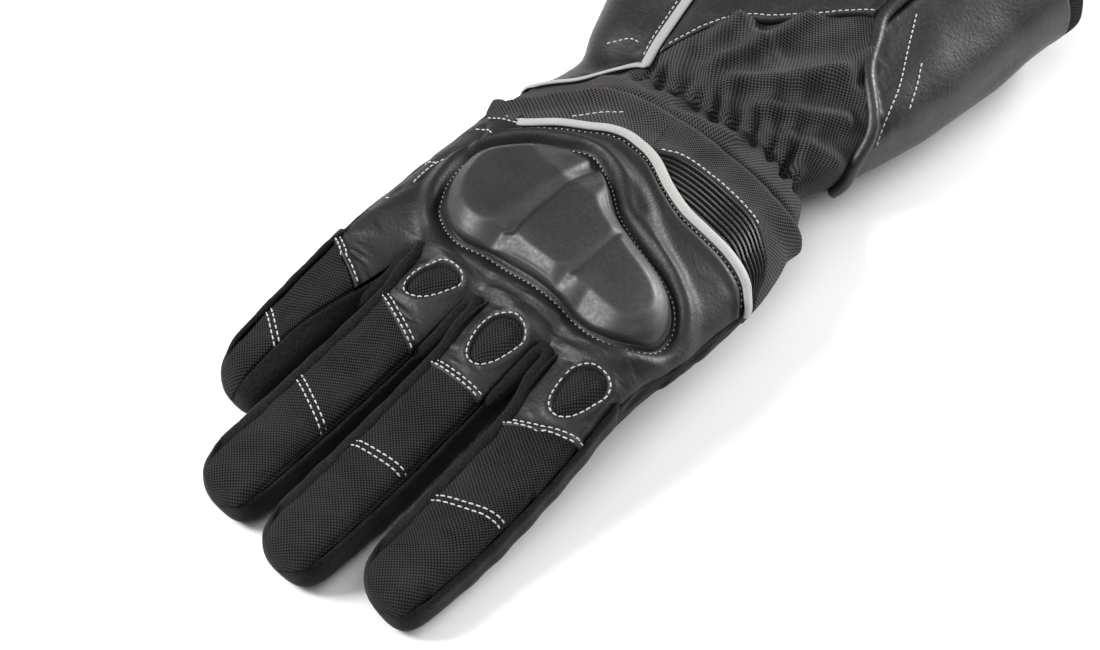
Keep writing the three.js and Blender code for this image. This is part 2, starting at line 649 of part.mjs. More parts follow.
// The leather tongues that run out along the fingers
for (const name of HAND_FINGERS) {
  const i = HAND_FINGERS.indexOf(name);
  const { end_y: end, slant } = TONGUES[name];
  const list = edges.filter((e) => e.kind === "strip" && e.i === i).map((e) => e.c);
  if (i < 3 && !list.includes(1)) list.unshift(1);
  if (i > 0 && !list.includes(-1)) list.push(-1);
  list.sort((a, b) => b - a);
  const tongueRows = (c) => {
    const across = unitSection(mix(180 - BACK_SEAM_DEG, BACK_SEAM_DEG, (c + 1) / 2), FINGER_SQUARENESS).x * 12;
    return spread(end + SEAM_GAP / 2 + slant * across * smooth((FINGER_ROOT_Y - end) / 10), -9, 3);
  };
  for (let r = 0; r < 3; r += 1)
    for (let k = 0; k < list.length - 1; k += 1) {
      const corner = (dr, dk) => backPoint(i, list[k + dk], tongueRows(list[k + dk])[r + dr]);
      handBody.cell("back_leather", [corner(0, 0), corner(1, 0), corner(1, 1), corner(0, 1)]);
    }
}

const PANEL_MATERIALS = {
  pinky_side_leather: "leather",
  index_side_gusset: "knit",
  ribbed_panel: "rubber",
  wrist_band: "softshell",
  gathered_wrist: "softshell",
  cuff_palm: "softshell",
  cuff_side_leather: "leather",
  cuff_top_leather: "leather",
  cuff_index_leather: "leather",
  cuff_hem: "softshell",
};
for (const [name, material] of Object.entries(PANEL_MATERIALS)) {
  if (name !== "wrist_band") add(name, material, handBody.panel(name));
}

// The fingers' pieces are trimmed to stay clear of the back leather where it runs out over their roots.
const leatherRoom = solid(handBody.panel("back_leather", WALL + SEAM_GAP, SEAM_GAP));
for (const [name, body] of Object.entries(fingerBodies)) {
  const sides = solid(body.panel(`${name}_side_strip`)).subtract(leatherRoom);
  const back = solid(body.panel(`${name}_back_panel`)).subtract(leatherRoom);
  add(`${name}_side_strip`, "knit", geometryOf(mainBody(sides)));
  add(`${name}_back_panel`, "softshell", geometryOf(mainBody(back)));
}

// Teardrop windows in the leather behind three fingers, each filled with a piece of cloth
const backLeather = solid(handBody.panel("back_leather"));
const sunkLeather = solid(handBody.panel("back_leather", WALL, -0.3));
function teardrop({ x, y, length, width, turn }, inset) {
  const outline = spread(0, 330, 11).map((deg) => {
    const a = radians(deg);
    const along = (length / 2 - inset) * Math.cos(a);
    const across = (width / 2 - inset) * Math.sin(a) * (1 + 0.3 * Math.cos(a));
    return new THREE.Vector2(across, along).rotateAround(new THREE.Vector2(), radians(turn));
  });
  const prism = new THREE.ExtrudeGeometry(new THREE.Shape(outline), { depth: 30, bevelEnabled: false });
  prism.translate(x, y, 15);
  prism.deleteAttribute("normal");
  prism.deleteAttribute("uv");
  return solid(mergeVertices(prism, 1e-4));
}
let leather = backLeather;
for (const [name, drop] of Object.entries(TEARDROPS)) {
  leather = leather.subtract(teardrop(drop, 0));
  add(`${name}_teardrop`, "softshell", geometryOf(mainBody(sunkLeather.intersect(teardrop(drop, SEAM_GAP)))));
}
add("back_leather", "leather", geometryOf(mainBody(leather)));

// The thumb lies under the palm; the palm leather is cut away where the thumb grows out of it.
const THUMB_COLUMNS = 11;
const thumbRows = [...spread(64, tipOf("thumb") + TIP_LENGTH, 6), ...[7, 3, 0.8, 0].map((d) => tipOf("thumb") + d)];
function thumbLoop(r, grow) {
  const y = thumbRows[r] + (r === 0 ? 2 * grow : 0) - (r === thumbRows.length - 1 ? grow : 0);
  return spread(0, 360, THUMB_COLUMNS)
    .slice(0, -1)
    .map((angle) => {
      const p = fingerPoint("thumb", Math.max(y, tipOf("thumb")), angle);
      const centre = fingerTracks.thumb.x(Math.max(y, tipOf("thumb")));
      const middle = (fingerTracks.thumb.underside(y) + fingerTracks.thumb.top(y)) / 2;
      const away = new THREE.Vector3(p.x - centre, 0, p.z - middle).normalize();
      return new THREE.Vector3(p.x, y, p.z).addScaledVector(away, grow);
    });
}
const thumbBody = new Cells();
for (let r = 0; r < thumbRows.length - 1; r += 1) {
  const here = thumbLoop(r, 0);
  const next = thumbLoop(r + 1, 0);
  for (let k = 0; k < THUMB_COLUMNS; k += 1) {
    const l = (k + 1) % THUMB_COLUMNS;
    thumbBody.cell("thumb", [here[k], here[l], next[l], next[k]]);
  }
}
const thumbEnd = thumbLoop(thumbRows.length - 1, 0);
const thumbHub = thumbEnd.reduce((sum, p) => sum.addScaledVector(p, 1 / THUMB_COLUMNS), new THREE.Vector3());
thumbEnd.forEach((p, k) => thumbBody.cell("thumb", [p, thumbEnd[(k + 1) % THUMB_COLUMNS], thumbHub]));
add("thumb", "leather", thumbBody.panel("thumb", 1.6));

function thumbPlug(grow) {
  const points = [];
  const faces = [];
  thumbRows.forEach((_, r) => points.push(...thumbLoop(r, grow)));
  const n = THUMB_COLUMNS;
  for (let r = 0; r < thumbRows.length - 1; r += 1)
    for (let k = 0; k < n; k += 1) {
      const l = (k + 1) % n;
      const quad = [r * n + k, r * n + l, (r + 1) * n + l, (r + 1) * n + k];
      faces.push(quad[0], quad[1], quad[2], quad[0], quad[2], quad[3]);
    }
  const last = (thumbRows.length - 1) * n;
  for (let k = 1; k < n - 1; k += 1) {
    faces.push(0, k + 1, k);
    faces.push(last, last + k, last + k + 1);
  }
  return solid(bodyOf(points, faces));
}
const thumbRoom = thumbPlug(SEAM_GAP + 0.1);
for (const [name, material] of [["palm_leather", "leather"], ["wrist_band", PANEL_MATERIALS.wrist_band]])
  add(name, material, geometryOf(mainBody(solid(handBody.panel(name)).subtract(thumbRoom))));

// The height of the back leather over a point of the plan
function backHeight(x, y) {
  const i = FORKS.filter((fork) => x > fork.x).length;
  let low = -1;
  let high = 1;
  for (let n = 0; n < 24; n += 1) {
    const c = (low + high) / 2;
    if (backPoint(i, c, y).x < x) low = c;
    else high = c;
  }
  return backPoint(i, (low + high) / 2, y).z;
}

// The knuckle guard: rings of points from its middle to its outline
const GUARD_RINGS = [0.35, 0.62, 0.8, 0.92, 1];
const GUARD_RAYS = 36;
const GUARD_LIFT = 0.55;
function guardOutline() {
  const n = GUARD_OUTLINE.length;
  const around = Array.from({ length: n + 5 }, (_, k) => ({ k: k - 2, ...GUARD_OUTLINE[(k - 2 + n) % n] }));
  const x = track(around, "k", "x");
  const y = track(around, "k", "y");
  return spread(0, n, GUARD_RAYS)
    .slice(0, -1)
    .map((k) => ({ x: x(k), y: y(k) }));
}
const guardRim = guardOutline().reverse();
const guardPoints = [];
const guardFaces = [];
function guardPair(x, y, depth) {
  const base = backHeight(x, y) + GUARD_LIFT;
  const rise = 1 - (1 - clamp01(depth / GUARD_BEVEL)) ** 2;
  guardPoints.push(new THREE.Vector3(x, y, base + mix(1.2, GUARD_THICKNESS, rise)), new THREE.Vector3(x, y, base));
}
guardPair(GUARD_CENTRE.x, GUARD_CENTRE.y, GUARD_BEVEL);
for (const f of GUARD_RINGS)
  for (const p of guardRim) {
    const radius = Math.hypot(p.x - GUARD_CENTRE.x, p.y - GUARD_CENTRE.y);
    guardPair(mix(GUARD_CENTRE.x, p.x, f), mix(GUARD_CENTRE.y, p.y, f), radius * (1 - f));
  }
const guardAt = (ring, k) => (ring < 0 ? 0 : 2 + 2 * (ring * GUARD_RAYS + (k % GUARD_RAYS)));
for (let ring = -1; ring < GUARD_RINGS.length - 1; ring += 1)
  for (let k = 0; k < GUARD_RAYS; k += 1) {
    const quad = [guardAt(ring, k), guardAt(ring + 1, k), guardAt(ring + 1, k + 1), guardAt(ring, k + 1)];
    if (ring >= 0) {
      guardFaces.push(quad[0], quad[2], quad[3]);
      guardFaces.push(quad[0] + 1, quad[3] + 1, quad[2] + 1);
    }
    guardFaces.push(quad[0], quad[1], quad[2]);
    guardFaces.push(quad[0] + 1, quad[2] + 1, quad[1] + 1);
  }
for (let k = 0; k < GUARD_RAYS; k += 1) {
  const a = guardAt(GUARD_RINGS.length - 1, k);
  const b = guardAt(GUARD_RINGS.length - 1, k + 1);
  guardFaces.push(b, a, a + 1, b, a + 1, b + 1);
}
const guard = bodyOf(guardPoints, guardFaces);
add("knuckle_guard", "moulded", guard);

// A cord or tape that follows a path over the surface of the hand and cuff, clear of it by a seam gap
function cord(path, width, height, corners, lift = SEAM_GAP) {
  const centre = path.map(({ y, angle }) => handPoint(y, angle));
  const points = [];
  const n = corners.length;
  path.forEach(({ y, angle }, k) => {
    const along = centre[Math.min(k + 1, path.length - 1)].clone().sub(centre[Math.max(k - 1, 0)]).normalize();
    const acrossY = handPoint(y + 0.5, angle).sub(handPoint(y - 0.5, angle));
    const acrossA = handPoint(y, angle + 1).sub(handPoint(y, angle - 1));
    const normal = acrossA.cross(acrossY).normalize().negate();
    const side = along.clone().cross(normal).normalize();
    for (const [s, h] of corners)
      points.push(centre[k].clone().addScaledVector(side, s * width).addScaledVector(normal, lift + h * height));
  });
  const faces = [];
  for (let k = 0; k < path.length - 1; k += 1)
    for (let c = 0; c < n; c += 1) {
      const d = (c + 1) % n;
      const quad = [k * n + c, k * n + d, (k + 1) * n + d, (k + 1) * n + c];
      faces.push(quad[0], quad[1], quad[2], quad[0], quad[2], quad[3]);
    }
  const last = (path.length - 1) * n;
  for (let c = 1; c < n - 1; c += 1) {
    faces.push(0, c + 1, c);
    faces.push(last, last + c, last + c + 1);
  }
  const made = bodyOf(points, faces);
  if (solid(made).volume() > 0) return made;
  for (let f = 0; f < faces.length; f += 3) [faces[f], faces[f + 1]] = [faces[f + 1], faces[f]];
  return bodyOf(points, faces);
}
const TAPE = [
  [-0.5, 0],
  [0.5, 0],
  [0.5, 0.5],
  [0.2, 1],
  [-0.2, 1],
  [-0.5, 0.5],
];
const ROLL = spread(0, 300, 5).map((deg) => [0.5 * Math.cos(radians(deg)), 0.5 + 0.5 * Math.sin(radians(deg))]);

const wristPath = spread(-28, 138, 30).map((angle) => ({ angle, y: pipingLine(angle) }));
add("wrist_piping", "reflective", cord(wristPath, PIPING_WIDTH, PIPING_HEIGHT, TAPE));

const corner = CUFF_FORK_ANGLES[0] + 2;
const vPath = [
  ...spread(178, corner, 10).map((angle) => ({ angle, y: sideCuffLine(angle) + 0.3 })),
  ...spread(sideCuffLine(corner) + 4, CUFF_END_Y - HEM_DEPTH - 1, 14).map((y) => ({ angle: corner - 2, y })),
];
add("cuff_v_piping", "reflective", cord(vPath, PIPING_WIDTH, PIPING_HEIGHT, TAPE, 2 * SEAM_GAP));

const rollPath = [
  ...spread(-22, CUFF_FORK_ANGLES[2], 12).map((angle) => ({ angle, y: topCuffLine(angle) })),
  ...spread(153, CUFF_END_Y - HEM_DEPTH - 1, 8).map((y) => ({ angle: CUFF_FORK_ANGLES[2], y })),
];
add("cuff_roll_piping", "leather", cord(rollPath, 4, 4, ROLL, 2 * SEAM_GAP));

export default glove;
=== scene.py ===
import math

import bpy
import numpy as np
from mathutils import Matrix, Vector
from mathutils.bvhtree import BVHTree


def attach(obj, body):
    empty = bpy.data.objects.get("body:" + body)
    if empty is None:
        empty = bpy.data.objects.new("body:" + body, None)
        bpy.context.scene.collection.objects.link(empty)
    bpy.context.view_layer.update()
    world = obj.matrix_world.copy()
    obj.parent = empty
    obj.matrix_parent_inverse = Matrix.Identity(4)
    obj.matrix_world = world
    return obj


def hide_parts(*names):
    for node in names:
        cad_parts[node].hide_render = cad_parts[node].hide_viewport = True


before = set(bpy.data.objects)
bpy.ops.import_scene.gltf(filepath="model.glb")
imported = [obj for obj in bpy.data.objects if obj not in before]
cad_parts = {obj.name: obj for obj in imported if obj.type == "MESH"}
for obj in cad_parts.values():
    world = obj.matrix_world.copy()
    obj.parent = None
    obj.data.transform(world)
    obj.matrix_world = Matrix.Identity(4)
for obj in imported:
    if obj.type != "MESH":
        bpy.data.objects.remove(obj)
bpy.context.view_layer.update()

# From the working frame of the lofts to the row's frame
SHIFT = np.array([27.5, -55.5, 0.0])

# Roundness of the sections, and the angles of the seams beside the fingers' back panels
HAND_N = 2.5
FINGER_N = 2.6
SEAM_RIGHT = 31.0
SEAM_LEFT = 43.0
PINKY_TURN = 44.0
INDEX_RIGHT = 24.0
PINKY_SEAM = [(-16, 138), (-6, 141), (1, 145), (10, 141), (17, 142), (26, 143), (30, 140), (35, 135),
              (39, 131), (43.5, 126), (50, 124), (54, 127), (62, 136), (80, 150), (95, 152)]
TIP_LENGTH = 13.0
TIP_N = 3.2
TIP_DROP = 1.5
ROOT_Y = 3.0
WRIST_Y = 81.0
CUFF_END = 208.0
PIPING_END = CUFF_END - 7.5
CUFF_RADIUS = 45

HAND = np.array([
    # y, pinky x, index x, middle z, rise, drop, arch
    (-14, -72.5, 30.5, 18.5, 12, 8, 2),
    (10, -72.8, 32, 18.5, 16.5, 9.5, 5),
    (30, -72.8, 33, 18, 18, 9.5, 6.5),
    (50, -72, 32.5, 18, 18, 10, 6.5),
    (65, -71, 29.5, 17.5, 17, 11, 5),
    (80, -70, 24, 17.5, 15.5, 12, 2.5),
    (95, -69.5, 17.5, 17.5, 13, 14, 0),
    (108, -72, 19, 17.5, 15.5, 17.2, 0),
    (125, -76.5, 24, 18, 19.5, 19.3, 0),
    (150, -81.5, 28, 19, 21.5, 20.8, 0),
    (209, -90.5, 35.5, 21, 24, 23, 0),
], float)
FINGERS = {
    # y, middle x, half width, underside, top
    "pinky": [(16, -60.5, 12.4, 9, 30.5), (2, -61, 12.2, 9, 28.5), (-30, -63.6, 11, 3, 20.5),
              (-61, -64, 10, -0.8, 15)],
    "ring": [(16, -34.8, 12.7, 14, 34.5), (-3, -35.2, 12.4, 13, 31.5), (-30, -38, 12.2, 6, 23.5),
             (-60, -40.4, 12, -0.8, 17.5), (-91, -41, 11.6, -0.8, 15.5)],
    "middle": [(16, -9, 12.7, 15, 35.5), (-4, -9.3, 12.4, 14.5, 32.5), (-30, -11.3, 12.2, 7, 24.5),
               (-60, -13, 12.1, -0.8, 18), (-97, -13.2, 11.4, -0.8, 15.5)],
    "index": [(16, 17.6, 13.2, 14, 33.5), (-4, 17.6, 13, 13, 31), (-30, 17.8, 13.1, 6, 24),
              (-60, 16.9, 13, -0.8, 18), (-90, 16.2, 11.8, -0.8, 15.5)],
    "thumb": [(64, 6, 11.5, 4, 20), (50, 9, 12.2, -0.8, 13.5), (30, 5.5, 12.3, -0.8, 11.5),
              (8, -1, 11.8, -0.8, 11.2), (-14, -8, 10.5, -0.8, 10.8)],
}
NAMES = ["pinky", "ring", "middle", "index"]
FORKS = [(-48.2, 2.0), (-22.4, -4.0), (4.2, -5.0)]
FORK_RADIUS = 3.2
TONGUES = {"pinky": (-15.6, -0.5), "ring": (-23.5, -0.42), "middle": (-29.5, -0.05), "index": (-29, 0.4)}
TIP_SLANT = {"pinky": 0.2, "ring": 0.16, "middle": 0.12, "index": 0.26, "thumb": 0}
FADE = 30.0
INDEX_SEAM = [(-24, 20), (-6, 13), (3, 10), (14, 10), (24, 9), (35, 7.5), (43, 6), (60, 0)]
PIPING = [(-210, 57), (-90, 52), (-30, 45.5), (0, 44.8), (10, 46.2), (22, 49.2), (41, 51.5), (57, 52.6),
          (68, 54.1), (78, 58.3), (87, 64.6), (93, 67), (99, 66), (105, 62.8), (114, 58.9), (127.5, 52.4),
          (152, 51)]
RIBS = [(-210, 72), (-90, 62), (-30, 48), (-5, 48.5), (5, 51), (10, 55.5), (19, 60.2), (29, 63.3),
        (42, 67.5), (58, 69.3), (72, 70.5), (82, 70.2), (89, 67.8), (152, 66)]
SIDE_CUFF = [(-210, 71), (-180, 75), (-100, 88), (100, 90), (112, 96), (125, 87), (137, 78), (152, 71)]
TOP_CUFF = [(-210, 100), (-90, 104), (-30, 107), (0, 111), (20, 119), (50, 132), (64, 148), (78, 138),
            (95, 120), (111, 100), (152, 100)]
CUFF_FORKS = [111.0, 91.0, 64.0]
# How far the elastic pulls the wrist in at its little-finger side
PINKY_PULL = 3.2


def track(rows, column=1):
    """A smooth function through the rows (position, value ...) of a table."""
    a = np.array([(r[0], r[column]) for r in rows], float)
    if a[1, 0] < a[0, 0]:
        a = a[::-1]
    at, value = a[:, 0], a[:, 1]
    n = len(at)
    low, high = np.maximum(np.arange(n) - 1, 0), np.minimum(np.arange(n) + 1, n - 1)
    slope = (value[high] - value[low]) / (at[high] - at[low])

    def f(t):
        t = np.asarray(t, float)
        i = np.clip(np.searchsorted(at, t) - 1, 0, n - 2)
        step = at[i + 1] - at[i]
        s = np.clip((t - at[i]) / step, 0, 1)
        s2, s3 = s * s, s * s * s
        ends = (2 * s3 - 3 * s2 + 1) * value[i] + (3 * s2 - 2 * s3) * value[i + 1]
        return ends + ((s3 - 2 * s2 + s) * slope[i] + (s3 - s2) * slope[i + 1]) * step

    return f


def mix(a, b, t):
    return a + (b - a) * t


def smooth(t):
    t = np.clip(t, 0, 1)
    return t * t * (3 - 2 * t)


def power(v, e):
    return np.sign(v) * np.abs(v) ** e


def bump(d, width):
    return np.exp(-((d / width) ** 2))


def normed(v):
    """Vectors scaled to a length of 1"""
    return v / np.maximum(1e-9, np.linalg.norm(v, axis=-1, keepdims=True))


def unit(angle, n):
    a = np.radians(angle)
    return power(np.cos(a), 2 / n), power(np.sin(a), 2 / n)


hand = [track(HAND, k) for k in range(1, 7)]
finger_tracks = {name: [track(rows, k) for k in range(1, 5)] for name, rows in FINGERS.items()}
tip = {name: rows[-1][0] for name, rows in FINGERS.items()}
index_seam, pinky_seam = track(INDEX_SEAM), track(PINKY_SEAM)
piping_y, rib_y = track(PIPING), track(RIBS)
side_cuff_y, top_cuff_y = track(SIDE_CUFF), track(TOP_CUFF)


def finger_at(name, y):
    """A finger's middle x, half width, underside and top at y"""
    return [f(y) for f in finger_tracks[name]]


def stack(x, y, z):
    return np.stack(np.broadcast_arrays(x, y, z), -1).astype(float)


def cuff_relief(y, angle):
    """Pleats out of the gathered wrist and broad waves along the cuff, as in the CAD part"""
    pull = bump(y - 95, 7) * smooth((y - WRIST_Y) / 5)
    wave = np.sin(np.radians(angle * 3 + y * 3.1)) * smooth((y - 105) / 25) * smooth((CUFF_END - y) / 30)
    return -1.5 * pull + 0.9 * wave


def hand_point(y, angle, out=0.0):
    y, angle = np.broadcast_arrays(np.asarray(y, float), np.asarray(angle, float))
    left, right, mid, rise, drop, arch = (f(y) for f in hand)
    ux, uz = unit(angle, HAND_N)
    relief = np.where(y > WRIST_Y, cuff_relief(y, angle), 0) + out
    turn = np.mod(angle, 360)
    relief = relief - PINKY_PULL * bump(y - 86, 13) * smooth((turn - 112) / 25) * smooth((240 - turn) / 30)
    height = np.where(uz > 0, rise, drop)
    lift = np.where(uz < 0, arch * (1 - ux * ux), 0)
    x = (left + right) / 2 + ux * ((right - left) / 2 + relief)
    return stack(x, y, np.maximum(0.02, mid + uz * (height + relief) + lift))


def finger_point(name, y, angle):
    cx, half, low, high = finger_at(name, y)
    into = np.clip((tip[name] + TIP_LENGTH - y) / TIP_LENGTH, 0, 1)
    around = (1 - into**TIP_N) ** (1 / TIP_N)
    ux, uz = unit(angle, FINGER_N)
    z = mix((low + high) / 2 - TIP_DROP * (1 - around), np.where(uz > 0, high, low), np.abs(uz) * around)
    lean = TIP_SLANT[name] * ux * half * around * smooth((tip[name] + 24 - y) / 20)
    return stack(cx + ux * half * around, y - lean, np.maximum(0.02, z))


def top_angle(y, x):
    left, right = hand[0](y), hand[1](y)
    across = np.clip((x - (left + right) / 2) / ((right - left) / 2), -1, 1)
    return np.degrees(np.arccos(power(across, HAND_N / 2)))


def strip_angle(i, c, y):
    at = np.minimum(y, 57)

    def edge(k, outer):
        if not 0 <= k < 3:
            return outer
        return mix(top_angle(at, FORKS[k][0]), CUFF_FORKS[k], smooth((y - 57) / 40))

    return mix(edge(i - 1, pinky_seam(y)), edge(i, index_seam(y)), (c + 1) / 2)


def right_seam(name, y):
    """The angle of a finger's seam on its index side: the little finger's back panel turns outwards"""
    if name == "pinky":
        return SEAM_RIGHT + PINKY_TURN * smooth((2 - y) / 46)
    return (INDEX_RIGHT if name == "index" else SEAM_RIGHT) + 0 * y


def strip_edge(i, side, y):
    k = i - 1 if side < 0 else i
    if not 0 <= k < 3:
        return pinky_seam(y) if side < 0 else index_seam(y)
    return 180 - SEAM_LEFT + 0 * y if side < 0 else right_seam(NAMES[i], y)


def back_point(i, c, y):
    """The back of the hand behind finger i: c runs from -1 at its little-finger edge to 1"""
    name = NAMES[i]
    c, y = np.broadcast_arrays(np.asarray(c, float), np.asarray(y, float))
    on_hand = hand_point(y, strip_angle(i, c, y))
    blend = smooth((y + 6) / FADE)
    left, right = strip_edge(i, -1, y), strip_edge(i, 1, y)
    p = finger_point(name, y, mix(left, right, (c + 1) / 2))
    for side in (-1, 1):
        k = i - 1 if side < 0 else i
        if not 0 <= k < 3:
            continue
        fx, fy = FORKS[k]
        weight = np.maximum(0, side * c)
        past = y - fy + FORK_RADIUS
        own = finger_point(name, y, strip_edge(i, side, y))
        other = finger_point(NAMES[i + side], y, strip_edge(i + side, -side, y))
        reach = side * (fx - own[..., 0])
        opening = np.sqrt(np.maximum(0, FORK_RADIUS**2 - np.clip(past, 0, FORK_RADIUS) ** 2))
        left_open = np.where(past >= FORK_RADIUS, 0, np.minimum(np.maximum(0, reach), opening))
        on = past > 0
        p[..., 0] += np.where(on, side * (reach - left_open) * weight**2, 0)
        near = smooth(past / FORK_RADIUS)
        p[..., 2] += np.where(on, (other[..., 2] - own[..., 2]) / 2 * near * weight**3, 0)
        joined = (1 - left_open / np.maximum(0.1, reach)) * near
        p[..., 2] = mix(p[..., 2], on_hand[..., 2], np.where(on, 0.15 * joined * weight**2, 0))
    return mix(p, on_hand, blend[..., None])


# Paths and distances in plan
def lengths(path):
    """The length along a path at each of its points"""
    return np.concatenate([[0], np.cumsum(np.linalg.norm(np.diff(path, axis=0), axis=1))])


def at_lengths(at, s, values):
    """The values, given at the lengths s, at other lengths"""
    return np.stack([np.interp(at, s, column) for column in values.T], 1)


def path_through(points, closed=False, count=200):
    """Points at equal steps along a smooth curve through the given ones"""
    p = np.array(points, float)
    if closed:
        p = np.vstack([p[-2:], p, p[:3]])
    k = np.arange(len(p), dtype=float)
    fine = np.linspace(2, len(p) - 3, 1500) if closed else np.linspace(0, len(p) - 1, 1500)
    q = np.stack([track(np.stack([k, column], 1))(fine) for column in p.T], 1)
    s = lengths(q)
    return at_lengths(np.linspace(0, s[-1], count), s, q)


def even(path, normals=None, step=0.5):
    """A path, and its normals where they are given, at even steps"""
    s = lengths(path)
    at = np.linspace(0, s[-1], max(2, int(s[-1] / step)))
    if normals is None:
        return at_lengths(at, s, path)
    return at_lengths(at, s, path), at_lengths(at, s, normals)


def plan_distance(p, path):
    """The distance in plan from points to a polyline"""
    shape = p.shape[:-1]
    q = p.reshape(-1, p.shape[-1])[:, :2]
    best = np.full(len(q), 1e9)
    for a, b in zip(path[:-1, :2], path[1:, :2]):
        d = b - a
        t = np.clip(((q - a) @ d) / max(1e-9, d @ d), 0, 1)
        best = np.minimum(best, ((q - a - t[:, None] * d) ** 2).sum(1))
    return np.sqrt(best).reshape(shape)


def inside(p, path):
    """True where points lie inside a closed polyline in plan"""
    shape = p.shape[:-1]
    x, y = p.reshape(-1, p.shape[-1])[:, :2].T
    odd = np.zeros(len(x), bool)
    for (ax, ay), (bx, by) in zip(path[:-1, :2], path[1:, :2]):
        cross = (ay > y) != (by > y)
        odd ^= cross & (x < (bx - ax) * (y - ay) / (by - ay + 1e-12) + ax)
    return odd.reshape(shape)


def signed(p, path):
    return plan_distance(p, path) * np.where(inside(p, path), -1, 1)


def ripple(p, size, seed):
    """Smooth noise from a few turned waves: about -1 to 1 over points in millimetres"""
    rng = np.random.default_rng(seed)
    total = 0
    for k in range(7):
        d = rng.normal(size=3)
        d /= np.linalg.norm(d) * size * rng.uniform(0.6, 1.6)
        total = total + np.sin(p @ d * 2 * math.pi + rng.uniform(0, 6.28) + total * 0.7)
    return total / 3.5


# Surfaces
COLLECTION = bpy.context.scene.collection


def section_centre(P, name=None):
    """The middle of the hand's or a finger's section at each point's y"""
    y = P[..., 1]
    if name:
        cx, _, low, high = finger_at(name, y)
        return stack(cx, y, (low + high) / 2)
    left, right, mid = hand[0](y), hand[1](y), hand[2](y)
    return stack((left + right) / 2, y, mid)


def outward(P, n):
    """Unit normals at points of the hand, turned away from its middle"""
    n = normed(n)
    return n * np.sign((n * (P - section_centre(P))).sum(-1))[..., None]


def arc_uv(P):
    """Texture coordinates in millimetres along a grid's own lines"""
    u = np.concatenate([[0], np.cumsum(np.linalg.norm(np.diff(P, axis=0), axis=-1).mean(1))])
    v = np.concatenate([np.zeros((len(P), 1)), np.cumsum(np.linalg.norm(np.diff(P, axis=1), axis=-1), 1)], 1)
    v = v - v[:, P.shape[1] // 2][:, None]
    return np.stack([np.broadcast_to(u[:, None], v.shape), v], -1)


class Surface:
    """Four-sided faces in millimetres, from grids whose shared edges are merged"""

    def __init__(self):
        self.points, self.uvs, self.quads, self.count = [], [], [], 0

    def grid(self, P, centre=None, uv=None):
        rows, columns = P.shape[:2]
        a = (np.arange(rows - 1)[:, None] * columns + np.arange(columns - 1)).ravel() + self.count
        quads = np.stack([a, a + columns, a + columns + 1, a + 1], 1)
        n = np.cross(np.gradient(P, axis=0), np.gradient(P, axis=1))
        away = P - (section_centre(P) if centre is None else centre)
        if (n * away).sum() < 0:
            quads = quads[:, ::-1]
        self.points.append(P.reshape(-1, 3))
        self.uvs.append((arc_uv(P) if uv is None else uv).reshape(-1, 2))
        self.quads.append(quads)
        self.count += rows * columns
        return self

    def done(self):
        P, uv, quads = np.concatenate(self.points), np.concatenate(self.uvs), np.concatenate(self.quads)
        _, first, back = np.unique(np.round(P, 3), axis=0, return_index=True, return_inverse=True)
        self.P, self.quads = P[first], back.ravel()[quads]
        self.loop_uv = uv[quads]
        keep = (self.quads != np.roll(self.quads, 1, 1)).sum(1) > 2
        self.quads, self.loop_uv = self.quads[keep], self.loop_uv[keep]
        return self

    def normals(self):
        P, q = self.P, self.quads
        n = np.cross(P[q[:, 2]] - P[q[:, 0]], P[q[:, 3]] - P[q[:, 1]])
        total = np.zeros_like(P)
        for k in range(4):
            np.add.at(total, q[:, k], n)
        return normed(total)

    def relax(self, weight, times):
        """Smooths the surface where it is weighted, and leaves its shape elsewhere"""
        q = self.quads
        a, b = q.ravel(), np.roll(q, -1, 1).ravel()
        count = np.bincount(a, minlength=len(self.P)) + np.bincount(b, minlength=len(self.P))
        w = np.clip(weight, 0, 1)[:, None]
        n = len(self.P)
        for _ in range(times):
            sums = [np.bincount(a, p[b], n) + np.bincount(b, p[a], n) for p in self.P.T]
            average = np.stack(sums, 1) / np.maximum(1, count)[:, None]
            self.P = mix(self.P, average, w * 0.5)

    def raise_by(self, depth):
        self.P = self.P + self.normals() * depth[:, None]
        return self

    def rim(self, depth):
        """Turns the open edges in by a depth, so that the surface reads as thick"""
        q = self.quads
        edges = np.stack([q, np.roll(q, -1, 1)], -1).reshape(-1, 2)
        key = edges.min(1) * len(self.P) + edges.max(1)
        _, at, count = np.unique(key, return_index=True, return_counts=True)
        edge = edges[at[count == 1]]
        edge = edge[edge[:, 0] != edge[:, 1]]
        used, place = np.unique(edge, return_inverse=True)
        place = place.reshape(edge.shape) + len(self.P)
        n = self.normals()
        self.P = np.concatenate([self.P, self.P[used] - n[used] * depth])
        self.quads = np.concatenate([q, np.stack([edge[:, 1], edge[:, 0], place[:, 0], place[:, 1]], 1)])
        self.loop_uv = np.concatenate([self.loop_uv, np.zeros((len(edge), 4, 2))])
        return self

    def tree(self):
        return BVHTree.FromPolygons(self.P.tolist(), self.quads.tolist())

    def make(self, name, material, slot, *nodes):
        me = bpy.data.meshes.new(name)
        above_floor = (-np.inf, -np.inf, 0)
        P = (np.maximum(self.P, above_floor) + SHIFT) / 1000
        q = self.quads
        corner = q != np.roll(q, 1, 1)
        sides = corner.sum(1)
        me.vertices.add(len(P))
        me.vertices.foreach_set("co", P.ravel())
        me.loops.add(int(sides.sum()))
        me.loops.foreach_set("vertex_index", q[corner])
        me.polygons.add(len(q))
        me.polygons.foreach_set("loop_start", np.concatenate([[0], np.cumsum(sides)[:-1]]))
        me.polygons.foreach_set("loop_total", sides)
        me.polygons.foreach_set("use_smooth", np.ones(len(q), bool))
        layer = me.uv_layers.new(name="UVMap")
        layer.data.foreach_set("uv", (self.loop_uv[corner] / 1000).ravel())
        me.update(calc_edges=True)
        me.validate()
        return show(name, me, material, slot, *nodes)


